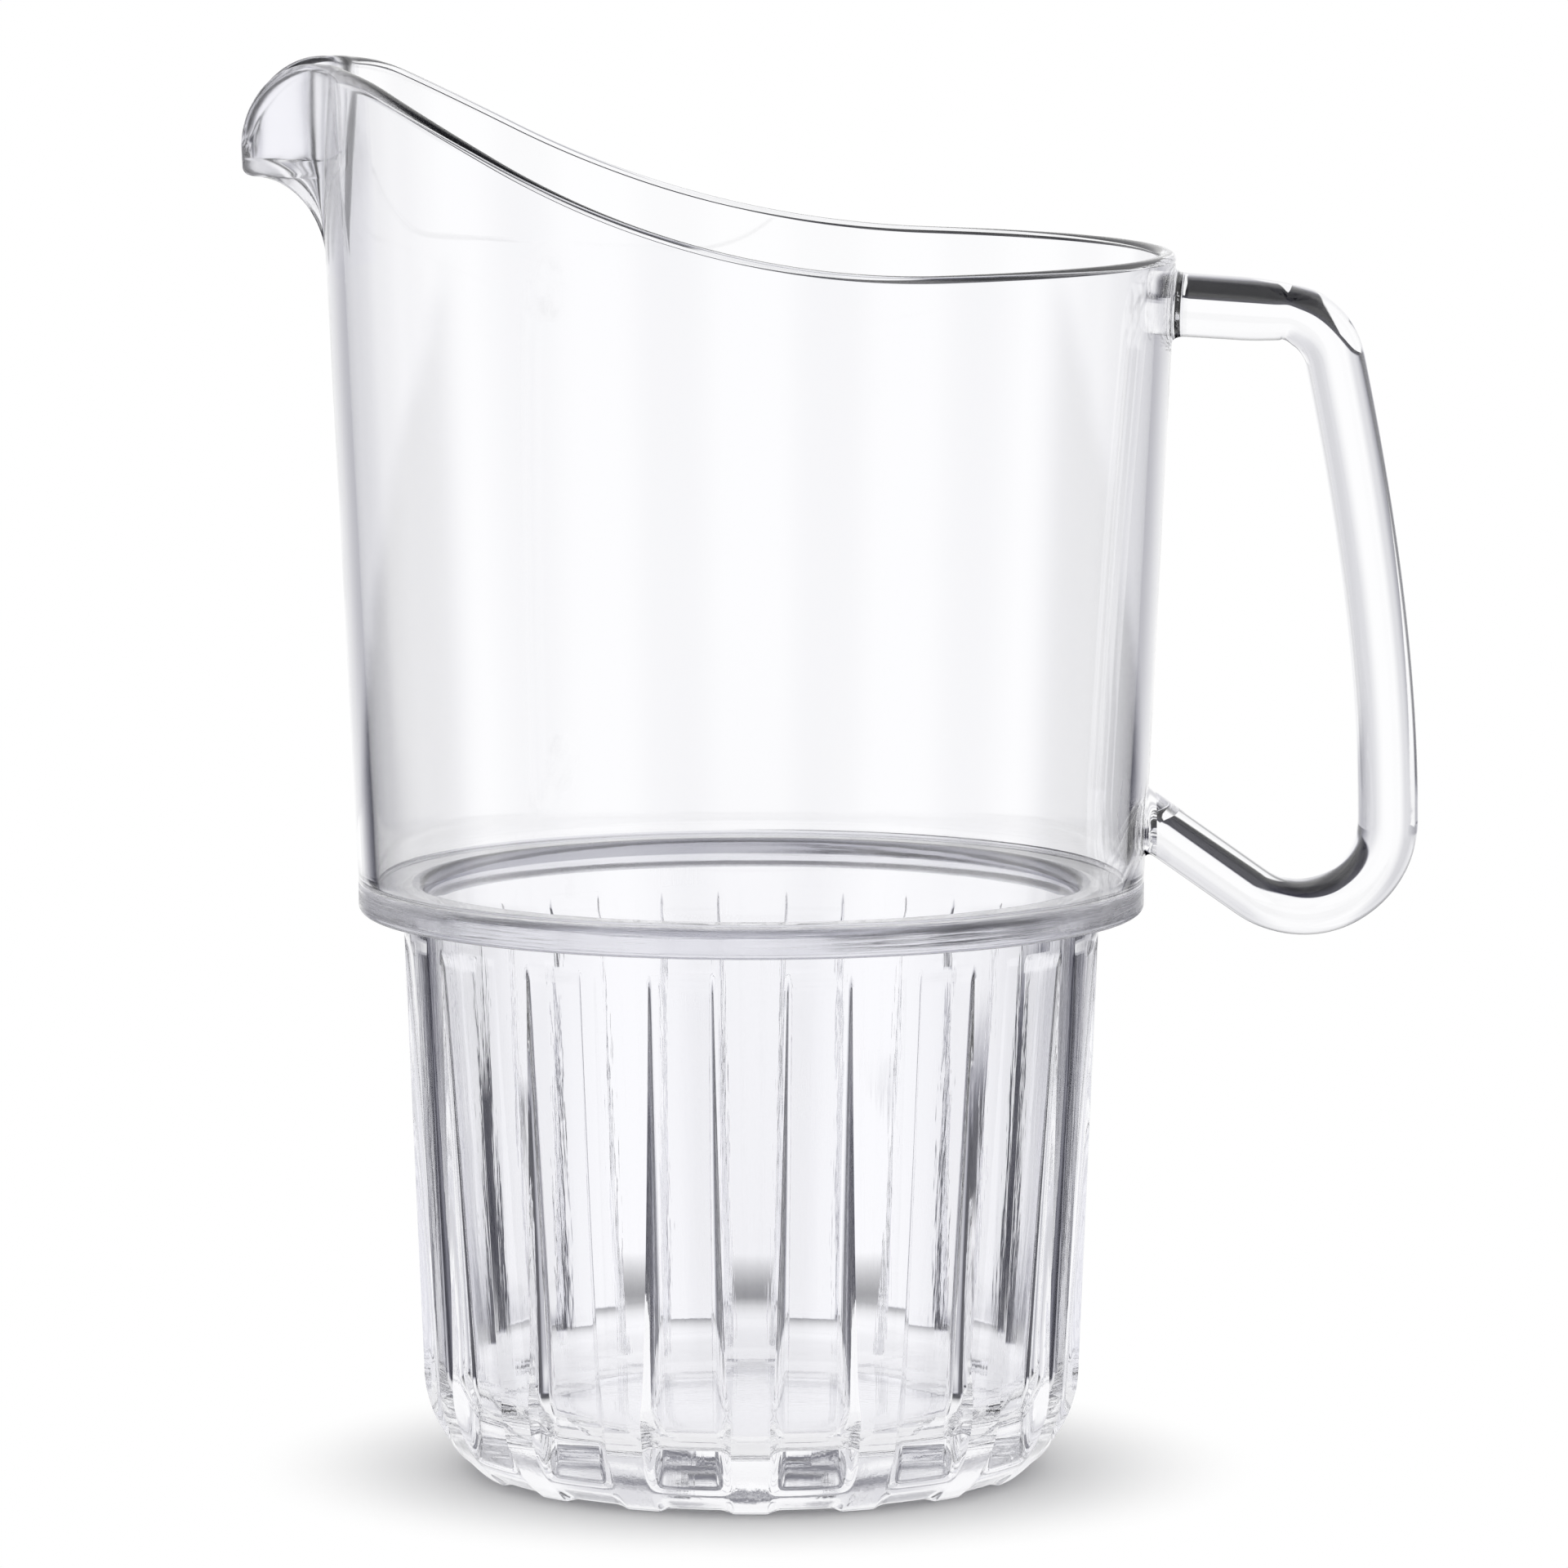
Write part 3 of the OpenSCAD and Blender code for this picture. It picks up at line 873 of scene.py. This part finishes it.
def patch_turn(point: Vector, root: Root) -> float:
    """Return the angle of a point of a root's patch round its middle, with the patch taken as a square.

    Args:
        point: The point in metres.
        root: The root.

    Returns:
        The angle, 0 towards +Y.
    """
    half_z = (root.high_z - root.low_z) / 2
    return math.atan2((point.z / MM - root.middle()) / half_z, point.y / MM / root.half_y)


@dataclass
class Spout:
    """The beak: a wedge of the wall that swells out to a pouring lip."""

    wall: WallForm
    columns: int = 210
    root_rows: int = 2
    under_rows: int = 24
    side_rows: int = 16
    lip_steps: int = 12

    @property
    def rows(self) -> int:
        """How many rows the outside has, less one."""
        return self.root_rows + self.under_rows + self.side_rows

    def skin(self, step: int, turn: float, depth: float) -> Point:
        """Return a point of the outside, or of the inside a wall's depth behind it.

        Args:
            step: Row, counted up from the seam.
            turn: Angle from the middle of the beak.
            depth: 0 for the outside, the wall's thickness for the inside.

        Returns:
            Its radius and height.
        """
        form = self.wall
        bend = form.under_r + depth * form.lip_floor / form.wall
        if step <= self.root_rows:
            z = mix(form.notch_z, form.root_z, step / self.root_rows)
            return form.radius(z) - depth, z
        lift = math.pi / 2 * min(1.0, (step - self.root_rows) / self.under_rows)
        z = form.root_z + bend * math.sin(lift)
        top = form.mouth_height(turn) - form.lip
        if step > self.root_rows + self.under_rows:
            z = mix(z, max(z, top), (step - self.root_rows - self.under_rows) / self.side_rows)
        rise = (z - form.root_z - bend + form.under_r) / (form.under_r + form.flank_rise)
        flank = ease((abs(turn) / form.half_angle - form.keel) / form.flank)
        past = min(1.0, max(0.0, z - form.root_z - bend) / form.tip_round)
        keel = mix(1 - math.cos(lift), math.sqrt(1 - (1 - past) ** 2), form.tip_round / form.reach)
        swell = mix(keel if depth == 0 else 1 - math.cos(lift), ease(rise), flank)
        out = form.nose(abs(turn) / form.spread(z - depth)) * swell
        thinned = depth * mix(1, form.lip_wall / form.wall, out)
        return form.radius(z) - thinned + form.reach * out, z

    def build(self, finishes: Finishes) -> bpy.types.Object:
        """Build and dress the spout.

        Args:
            finishes: The materials.

        Returns:
            The piece.
        """
        form = self.wall
        last = 2 * self.rows + self.lip_steps
        gap = 0.01
        flat = [(form.radius(form.notch_z) - gap * i, form.notch_z + gap * i) for i in range(last + 1)]
        spun = Spun(flat, True, self.columns, math.pi - form.half_angle, 2 * form.half_angle)

        def where(row: int, angle: float) -> tuple[float, float, float]:
            """Shape the outside, the rounded lip and the inside of the beak."""
            turn = angle - math.pi
            if row <= self.rows:
                r, z = self.skin(row, turn, 0.0)
            elif row >= self.rows + self.lip_steps:
                r, z = self.skin(last - row, turn, form.wall)
            else:
                a = math.pi * (row - self.rows) / self.lip_steps
                out = Vector(self.skin(self.rows, turn, 0.0))
                inside = Vector(self.skin(self.rows, turn, form.wall))
                half = (out - inside) / 2
                bulge = Vector((-half.y, half.x)).normalized() * form.lip
                r, z = (out + inside) / 2 + half * math.cos(a) + bulge * math.sin(a)
            return r, angle, z

        spun.place(where)
        spun.mark_rows([(last, 0)], Face.WELD)
        fill_ends(spun.mesh)
        return make_piece("spout_beak", spun.mesh, "spout", [finishes.beak, finishes.weld])


@dataclass
class StepRing:
    """The stacking step: a ring between the two bowls, with a ledge inside."""

    low_z: float = 89.6
    high_z: float = 94.5
    bore_r: float = 53.9
    shoulder_r: float = 55.4
    toe_r: float = 58.9
    outer_r: float = 62.4
    edge: float = 1.2
    edge_steps: int = 8
    band_rows: int = 3
    columns: int = 360

    def build(self, finishes: Finishes) -> bpy.types.Object:
        """Build and dress the step ring.

        Args:
            finishes: The materials.

        Returns:
            The piece.
        """
        edge_r = self.outer_r - self.edge
        under = run((self.shoulder_r, self.low_z), (edge_r, self.low_z), self.band_rows, GUARD)
        edge = arc((edge_r, self.low_z + self.edge), self.edge, -math.pi / 2, 0, self.edge_steps)[1:]
        side = run(edge[-1], (self.outer_r, self.high_z), self.band_rows, GUARD)[1:]
        ledge = run((self.toe_r, self.high_z), (self.bore_r, self.high_z), 2)
        profile = [*under, *edge, *side, *ledge, (self.bore_r, self.low_z)]
        spun = Spun(profile, True, self.columns)
        toe = len(under) + len(edge) + len(side)
        last = len(profile) - 1
        spun.mark_rows([(toe - 1, toe), (last - 1, last), (last, 0)], Face.WELD)
        spun.mark_rows([(i, i + 1) for i in range(toe, last - 1)], Face.LEDGE)
        # The step's shown faces take the grey tint that is painted shade.
        materials = [finishes.step, finishes.weld, finishes.bowl]
        return make_piece("step_ring_band", spun.mesh, "step_ring", materials)


@dataclass
class LowerBowl:
    """The fluted lower bowl, with a thick floor, feet under its lands and a lip that fills the step."""

    top_z: float = 89.6
    top_r: float = 55.4
    base_r: float = 52.3
    round_r: float = 20.0
    foot_r: float = 43.6
    foot_in_r: float = 36.6
    notch_in_r: float = 39.6
    hollow: float = 1.5
    lip_z: float = 94.5
    bore_r: float = 53.9
    lip_in_r: float = 51.6
    floor_z: float = 10.0
    floor_r: float = 46.7
    corner: float = 8.0
    flutes: int = 16
    flute_top_z: float = 86.6
    flute_end: float = 3.0
    depth_top: float = 0.25
    depth_base: float = 3.2
    floor_half_top: float = 4.6
    floor_half_base: float = 4.2
    side_top: float = 0.5
    side_base: float = 3.0
    side_power: float = 0.6
    flute_blend: float = 0.25
    flute_low_z: float = 1.5
    flute_fade: float = 3.0
    side_toe: float = 0.1
    side_round: float = 2.2
    notch: float = 0.65
    notch_z: float = 3.6
    notch_ramp: float = 1.0
    notch_step: float = 0.35
    notch_end: float = 2.4
    floor_rows: tuple[float, ...] = (0.0, 12.0, 24.0)
    even_in: float = 2.0
    inside_guard: float = 0.3
    half_columns: int = 16
    side_columns: int = 8
    round_steps: int = 26
    wall_rows: int = 20
    end_rows: int = 8
    top_rows: int = 3
    lip_steps: int = 10
    inside_rows: int = 14

    @property
    def round_z(self) -> float:
        """Height at which the base starts to round in."""
        return math.sqrt(self.round_r**2 - (self.foot_r - self.base_r + self.round_r) ** 2)

    def land_r(self, z: float) -> float:
        """Return the radius of the lands at a height."""
        if z >= self.round_z:
            return mix(self.base_r, self.top_r, (z - self.round_z) / (self.top_z - self.round_z))
        return self.base_r - self.round_r + math.sqrt(self.round_r**2 - (self.round_z - z) ** 2)

    def depth(self, z: float) -> float:
        """Return a flute's depth under the lands at a height."""
        top = self.land_r(self.flute_top_z) - self.depth_top
        base = self.base_r - self.depth_base
        floor = mix(base, top, (z - self.round_z) / (self.flute_top_z - self.round_z))
        gap = self.land_r(z) - floor
        soft = (gap + math.sqrt(gap * gap + self.flute_blend**2)) / 2
        return soft * ease((self.flute_top_z - z) / self.flute_end)

    def cut(self, column: int, z: float) -> tuple[float, float]:
        """Return where a column of the fluted wall lies.

        Args:
            column: Its number, counted from the middle of a land.
            z: Height.

        Returns:
            Its angle from the middle of its land, and the share of the flute's depth that it takes.
        """
        per_flute = 2 * self.half_columns
        index = column % per_flute
        sign = 1 if index <= self.half_columns else -1
        index = min(index, per_flute - index)
        share = (z - self.round_z) / (self.flute_top_z - self.round_z)
        lowest = -0.25
        share = min(1.0, max(lowest, share))
        floor = mix(self.floor_half_base, self.floor_half_top, share) / self.land_r(max(z, self.round_z))
        narrowed = max(0.0, share) ** self.side_power
        side = mix(self.side_base, self.side_top, narrowed) / self.land_r(max(z, self.round_z))
        half = math.pi / self.flutes
        plain = (self.half_columns - self.side_columns) // 2
        guard = 0.92
        if index <= plain:
            t = index / plain
            stretched = t * guard / (1 - 1 / plain) if index < plain else 1.0
            return sign * stretched * (half - floor - side), 0.0
        if index <= plain + self.side_columns:
            t = (index - plain) / self.side_columns
            bent = t * t / (t + self.side_toe) * (1 + self.side_toe)
            return sign * (half - floor - side + side * t), 1 - (1 - bent) ** self.side_round
        t = (self.half_columns - index) / plain
        stretched = t * guard / (1 - 1 / plain) if t < 1 else 1.0
        return sign * (half - floor * stretched), 1.0

    def build(self, finishes: Finishes) -> bpy.types.Object:
        """Build and dress the lower bowl.

        Args:
            finishes: The materials.

        Returns:
            The piece.
        """
        start = -math.asin(self.round_z / self.round_r)
        rise_r = self.foot_in_r - self.hollow
        under = [(r, self.hollow) for r in (*self.floor_rows, rise_r - 1, rise_r)]
        under += run((self.foot_in_r, 0), (self.notch_in_r, 0), 2)
        under += [(self.notch_in_r + self.notch_step * i, 0.0) for i in range(1, 5)]
        foot = len(under)
        rounding = run((self.notch_in_r + self.notch_end, 0), (self.foot_r - GUARD, 0), 2)
        centre = (self.base_r - self.round_r, self.round_z)
        rounding += arc(centre, self.round_r, start, 0, self.round_steps)
        end_z = self.flute_top_z - self.flute_end
        heights = run((0, self.round_z), (0, end_z), self.wall_rows)[1:]
        heights += run((0, end_z), (0, self.flute_top_z), self.end_rows)[1:]
        wall = [(self.land_r(z), z) for _, z in heights]
        wall += run(wall[-1], (self.top_r, self.top_z), self.top_rows, GUARD)[1:]
        outer_end = foot + len(rounding) + len(wall)
        lip = self.bore_r - self.lip_in_r
        neck = [(self.bore_r, self.top_z), (self.bore_r, self.lip_z)]
        neck += arc((self.bore_r, self.lip_z - lip), lip, math.pi / 2, math.pi, self.lip_steps)[1:]
        corner = (self.floor_r - self.corner, self.floor_z + self.corner)
        inside = run(neck[-1], (self.floor_r, corner[1]), self.inside_rows, self.inside_guard)[1:]
        inside += arc(corner, self.corner, 0, -math.pi / 2, self.inside_rows)[1:]
        inside += [(r, self.floor_z) for r in (corner[0] - 1, *reversed(self.floor_rows))]
        profile = [*under, *rounding, *wall, *neck, *inside]
        per_flute = 2 * self.half_columns
        columns = per_flute * self.flutes
        spun = Spun(profile, False, columns)
        pitch = math.tau / self.flutes

        def where(row: int, angle: float) -> tuple[float, float, float]:
            """Cut the flutes into the outside, and the notches between the feet into the foot ring."""
            r, z = profile[row]
            column = round(angle / math.tau * columns)
            if row >= outer_end or r < self.foot_in_r - self.even_in:
                return r, angle, z
            turn, share = self.cut(column, z)
            land = pitch * (column // per_flute + (1 if column % per_flute > self.half_columns else 0))
            if row >= foot:
                raised = self.notch * share * ease((self.notch_z - z) / self.notch_z)
                cut = share * self.depth(z) * ease((z - self.flute_low_z) / self.flute_fade)
                return r - cut, land + turn, z + raised
            raised = self.notch * share * ease((r - self.notch_in_r) / self.notch_ramp)
            return r, land + turn, z + raised

        spun.place(where)
        spun.mark_rows([(outer_end - 1, outer_end), (outer_end, outer_end + 1)], Face.WELD)
        rounding_end = outer_end + len(neck) - 1
        spun.mark_rows([(i, i + 1) for i in range(outer_end + 1, rounding_end)], Face.LEDGE)
        # The ledge's faces take the lip finish, whose smoke-grey tint is painted shade.
        materials = [finishes.fluted, finishes.weld, finishes.lip]
        return make_piece("lower_bowl_fluted", spun.mesh, "lower_bowl", materials)


@dataclass
class Handle:
    """The loop handle: a rounded bar swept along its path, from one root of the upper bowl to the other."""

    bar: HandleForm
    sides: int = 72
    rings_per_station: int = 4

    def build(self, finishes: Finishes) -> bpy.types.Object:
        """Build and dress the handle.

        Args:
            finishes: The materials.

        Returns:
            The piece.
        """
        mesh = bmesh.new()
        turns = [math.tau * i / self.sides for i in range(self.sides)]
        first = [mesh.verts.new(self.bar.ring_point(0, turn) * MM) for turn in turns]
        for pair in zip(first, [*first[1:], first[0]]):
            mesh.edges.new(pair)
        number = mesh.verts.layers.int.new("turn")
        for i, vert in enumerate(mesh.verts):
            vert[number] = i
        ring = list(mesh.edges)
        rings = self.bar.last * self.rings_per_station
        for i in range(1, rings + 1):
            made = bmesh.ops.extrude_edge_only(mesh, edges=ring)["geom"]
            fresh = {item for item in made if isinstance(item, bmesh.types.BMVert)}
            for vert in fresh:
                vert.co = self.bar.ring_point(i / self.rings_per_station, turns[vert[number]]) * MM
            drawn = [item for item in made if isinstance(item, bmesh.types.BMEdge)]
            ring = [edge for edge in drawn if fresh.issuperset(edge.verts)]
        fill_ends(mesh)
        LOG.info("handle: %d rings of %d", rings + 1, self.sides)
        return make_piece("handle_bar", mesh, "handle", [finishes.handle, finishes.weld])


@dataclass(frozen=True)
class TableEdge:
    """A soft straight edge of the table: how much of x and y it adds up, and where that sum fades it out."""

    x_share: float
    y_share: float
    start: float
    end: float


class Aim(Enum):
    """What a ramp reads of a direction in the room. Turns count from straight behind the pitcher."""

    HEIGHT = "sine of the height"
    TURN = "turn to either side"
    QUARTERS = "wave with four crests in a round"
    EIGHTHS = "wave with eight crests in a round"


@dataclass(frozen=True)
class Ramp:
    """A smooth step between two levels, over a span of what it reads."""

    aim: Aim
    start: float
    end: float
    at_start: float
    at_end: float


Zone = tuple[Ramp, ...]
FLANK = Ramp(Aim.TURN, 0.32, 0.62, 0.0, 0.95)


@dataclass(frozen=True)
class Room:
    """The zones of the room, each the product of its ramps. The dark ones give the plastic its dark lines."""

    ceiling: Zone = (Ramp(Aim.HEIGHT, 0.72, 0.9, 1.0, 0.2),)
    gaps: Zone = (Ramp(Aim.EIGHTHS, -1.0, 0.6, 0.72, 1.0),)
    strips: Zone = (Ramp(Aim.QUARTERS, -0.3, 0.3, 1.0, 0.0), Ramp(Aim.TURN, 0.45, 0.65, 0.0, 1.0))
    deep: Zone = (Ramp(Aim.HEIGHT, -0.74, -0.58, 0.8, 0.03),)
    low: Zone = (Ramp(Aim.HEIGHT, -0.27, -0.19, 1.0, 0.0),)
    dark_low: Zone = (Ramp(Aim.HEIGHT, -0.138, -0.13, 1.0, 0.0), FLANK, Ramp(Aim.TURN, 1.4, 1.7, 1.0, 0.0))
    dark_high: Zone = (Ramp(Aim.HEIGHT, -0.095, -0.07, 0.5, 0.0), FLANK, Ramp(Aim.TURN, 1.0, 1.25, 1.0, 0.0))
    dark_edge: Zone = (
        Ramp(Aim.HEIGHT, -0.186, -0.172, 1.0, 0.0),
        Ramp(Aim.HEIGHT, -0.62, -0.5, 0.25, 0.97),
        Ramp(Aim.TURN, 0.45, 0.65, 1.0, 0.0),
    )
    blue_power: float = 0.9


@dataclass
class Studio:
    """The floor, the white room and the camera at the photograph's viewing angle."""

    room: Room = Room()
    floor_r: float = 800.0
    floor_sides: int = 128
    floor_drop: float = 0.2
    floor_white: float = 0.97
    floor_glow: float = 0.8
    fade_start: float = 46.0
    fade_end: float = 82.0
    table_r: float = 170.0
    side_start: float = 54.0
    side_end: float = 85.0
    near_edge: TableEdge = TableEdge(0.0, 1.0, 180.0, 140.0)
    right_edge: TableEdge = TableEdge(1.0, 0.176, 90.0, 100.0)
    left_edge: TableEdge = TableEdge(1.0, 0.0, -64.0, -74.0)
    fan_edge: TableEdge = TableEdge(1.0, 0.33, -60.0, -100.0)
    close_edge: TableEdge = TableEdge(0.0, 1.0, 340.0, 300.0)
    camera_at: tuple[float, float, float] = (5.2, -1638.25, 303.08)
    pitch_down: float = math.radians(6.738)
    lens: float = 238.42
    sensor: float = 36.0

    def build(self) -> None:
        """Make the floor, the world and the camera."""
        self.make_floor()
        self.make_world()
        self.make_camera()
        scene = bpy.context.scene
        scene.view_settings.view_transform = "Standard"
        scene.cycles.max_bounces = 32
        scene.cycles.transmission_bounces = 32
        scene.cycles.glossy_bounces = 20
        scene.cycles.transparent_max_bounces = 40

    def make_floor(self) -> None:
        """Make a pale round floor that fades out into the white of the room.

        The camera sees it go over into the room's white. What shines off or through the plastic sees a white
        table that ends at its edges, and past them the room's dark zones.
        """
        mesh = bmesh.new()
        bmesh.ops.create_circle(mesh, cap_ends=True, radius=self.floor_r * MM, segments=self.floor_sides)
        bmesh.ops.translate(mesh, verts=mesh.verts, vec=(0, 0, -self.floor_drop * MM))
        data = bpy.data.meshes.new("floor")
        mesh.to_mesh(data)
        mesh.free()
        floor = bpy.data.objects.new("floor", data)
        bpy.context.scene.collection.objects.link(floor)
        made = bpy.data.materials.new("white light table")
        made.use_nodes = True
        tree = made.node_tree
        tree.nodes.clear()
        place = add_node(tree, "ShaderNodeTexCoord").outputs["Object"]
        away = add_node(tree, "ShaderNodeVectorMath", {0: place}, operation="LENGTH").outputs["Value"]
        x = add_node(tree, "ShaderNodeSeparateXYZ", {0: place}).outputs[0]
        off = add_node(tree, "ShaderNodeMath", {0: x}, operation="ABSOLUTE").outputs[0]
        steps = []
        for value, start, end in (
            (away, self.fade_start, self.fade_end),
            (away, self.fade_end, self.table_r),
            (off, self.side_start, self.side_end),
        ):
            span = {"Value": value, "From Min": start * MM, "From Max": end * MM}
            step = add_node(tree, "ShaderNodeMapRange", span, interpolation_type="SMOOTHSTEP")
            steps.append(step.outputs[0])
        fade, past, side = steps
        ends = []
        for edge in (self.near_edge, self.right_edge, self.left_edge, self.fan_edge, self.close_edge):
            across = {0: place, 1: (edge.x_share, edge.y_share, 0.0)}
            reach = add_node(tree, "ShaderNodeVectorMath", across, operation="DOT_PRODUCT").outputs["Value"]
            span = {"Value": reach, "From Min": edge.start * MM, "From Max": edge.end * MM}
            ends.append(add_node(tree, "ShaderNodeMapRange", span).outputs[0])
        near, right, left, fan, close = ends
        path = add_node(tree, "ShaderNodeLightPath").outputs
        rays = {0: path["Is Transmission Ray"], 1: path["Is Glossy Ray"]}
        optic = add_node(tree, "ShaderNodeMath", rays, operation="MAXIMUM").outputs[0]
        apart = add_node(tree, "ShaderNodeMath", {0: fan, 1: close}, operation="MAXIMUM").outputs[0]
        beside = add_node(tree, "ShaderNodeMath", {0: left, 1: apart}, operation="MINIMUM").outputs[0]
        flank = add_node(tree, "ShaderNodeMath", {0: beside, 1: right}, operation="MAXIMUM").outputs[0]
        outside = add_node(tree, "ShaderNodeMath", {0: flank, 1: near}, operation="MAXIMUM").outputs[0]
        beyond = add_node(tree, "ShaderNodeMath", {0: past, 1: side}, operation="MAXIMUM").outputs[0]
        far = add_node(tree, "ShaderNodeMath", {0: beyond, 1: outside}, operation="MULTIPLY").outputs[0]
        gone = add_node(tree, "ShaderNodeMath", {0: optic, 1: far}, operation="MULTIPLY").outputs[0]
        lifted = {0: optic, 1: self.floor_glow}
        bright = add_node(tree, "ShaderNodeMath", lifted, operation="MULTIPLY").outputs[0]
        white = add_node(tree, "ShaderNodeMath", {0: fade, 1: bright}, operation="MAXIMUM").outputs[0]
        pale = (self.floor_white, self.floor_white, self.floor_white, 1.0)
        lit = add_node(tree, "ShaderNodeBsdfDiffuse", {"Color": pale})
        glow = add_node(tree, "ShaderNodeEmission", {"Color": (1.0, 1.0, 1.0, 1.0), "Strength": 1.0})
        shown = add_node(tree, "ShaderNodeMixShader", {0: white, 1: lit.outputs[0], 2: glow.outputs[0]})
        clear = add_node(tree, "ShaderNodeBsdfTransparent")
        seen = add_node(tree, "ShaderNodeMixShader", {0: gone, 1: shown.outputs[0], 2: clear.outputs[0]})
        add_node(tree, "ShaderNodeOutputMaterial", {0: seen.outputs[0]})
        data.materials.append(made)

    def make_world(self) -> None:
        """Make the white room. Only what shines off or through the plastic meets its dark zones."""
        world = bpy.data.worlds.new("white room")
        bpy.context.scene.world = world
        world.use_nodes = True
        tree = world.node_tree
        tree.nodes.clear()
        towards = add_node(tree, "ShaderNodeTexCoord").outputs["Generated"]
        axes = add_node(tree, "ShaderNodeSeparateXYZ", {0: towards}).outputs
        turn = add_node(tree, "ShaderNodeMath", {0: axes[0], 1: axes[1]}, operation="ARCTAN2").outputs[0]
        off = add_node(tree, "ShaderNodeMath", {0: turn}, operation="ABSOLUTE").outputs[0]
        aims = {Aim.HEIGHT: axes[2], Aim.TURN: off}
        for aim, crests in ((Aim.QUARTERS, 4.0), (Aim.EIGHTHS, 8.0)):
            phase = add_node(tree, "ShaderNodeMath", {0: turn, 1: crests}, operation="MULTIPLY").outputs[0]
            aims[aim] = add_node(tree, "ShaderNodeMath", {0: phase}, operation="COSINE").outputs[0]
        room = self.room
        ceiling, gaps, strips, deep, low = [
            self.zone_level(tree, aims, zone)
            for zone in (room.ceiling, room.gaps, room.strips, room.deep, room.low)
        ]
        left = []
        for zone in (room.dark_low, room.dark_high, room.dark_edge):
            dark = self.zone_level(tree, aims, zone)
            left.append(add_node(tree, "ShaderNodeMath", {0: 1.0, 1: dark}, operation="SUBTRACT").outputs[0])
        sides = add_node(tree, "ShaderNodeMath", {0: left[0], 1: left[1]}, operation="MULTIPLY").outputs[0]
        cards = add_node(tree, "ShaderNodeMath", {0: strips, 1: deep}, operation="MAXIMUM").outputs[0]
        table = add_node(tree, "ShaderNodeMix", {0: low, 2: sides, 3: cards}, data_type="FLOAT").outputs[0]
        lit = ceiling
        for level in (gaps, table, left[2]):
            lit = add_node(tree, "ShaderNodeMath", {0: lit, 1: level}, operation="MULTIPLY").outputs[0]
        path = add_node(tree, "ShaderNodeLightPath").outputs
        rays = {0: path["Is Camera Ray"], 1: path["Is Diffuse Ray"]}
        plain = add_node(tree, "ShaderNodeMath", rays, operation="MAXIMUM").outputs[0]
        shade = add_node(tree, "ShaderNodeMix", {0: plain, 2: lit, 3: 1.0}, data_type="FLOAT").outputs[0]
        cool = add_node(tree, "ShaderNodeMath", {0: shade, 1: room.blue_power}, operation="POWER").outputs[0]
        tone = add_node(tree, "ShaderNodeCombineColor", {0: shade, 1: shade, 2: cool}).outputs[0]
        sky = add_node(tree, "ShaderNodeBackground", {"Color": tone, "Strength": 1.0})
        add_node(tree, "ShaderNodeOutputWorld", {0: sky.outputs[0]})

    def zone_level(
        self, tree: bpy.types.NodeTree, aims: dict[Aim, bpy.types.NodeSocket], zone: Zone
    ) -> bpy.types.NodeSocket:
        """Add the product of a zone's ramps to the room.

        Args:
            tree: The room's nodes.
            aims: What the ramps read.
            zone: The ramps.

        Returns:
            The product.
        """
        levels = []
        for ramp in zone:
            span = {"Value": aims[ramp.aim], "From Min": ramp.start, "From Max": ramp.end}
            span |= {"To Min": ramp.at_start, "To Max": ramp.at_end}
            step = add_node(tree, "ShaderNodeMapRange", span, interpolation_type="SMOOTHSTEP")
            levels.append(step.outputs[0])
        product = levels[0]
        for level in levels[1:]:
            both = {0: product, 1: level}
            product = add_node(tree, "ShaderNodeMath", both, operation="MULTIPLY").outputs[0]
        return product

    def make_camera(self) -> None:
        """Make the camera."""
        data = bpy.data.cameras.new("camera")
        data.lens = self.lens
        data.sensor_width = self.sensor
        camera = bpy.data.objects.new("camera", data)
        camera.location = Vector(self.camera_at) * MM
        camera.rotation_euler = (math.pi / 2 - self.pitch_down, 0, 0)
        data.clip_start, data.clip_end = 0.05, 100.0
        bpy.context.scene.collection.objects.link(camera)
        bpy.context.scene.camera = camera


def main() -> None:
    """Build the pitcher and its studio."""
    logging.basicConfig(level=logging.INFO)
    Studio().build()
    finishes = Finishes()
    wall, bar = WallForm(), HandleForm()
    for piece in (
        UpperBowl(wall, bar).build(finishes),
        Spout(wall).build(finishes),
        StepRing().build(finishes),
        LowerBowl().build(finishes),
        Handle(bar).build(finishes),
    ):
        LOG.info("made %s", piece.name)


if __name__ == "__main__":
    main()
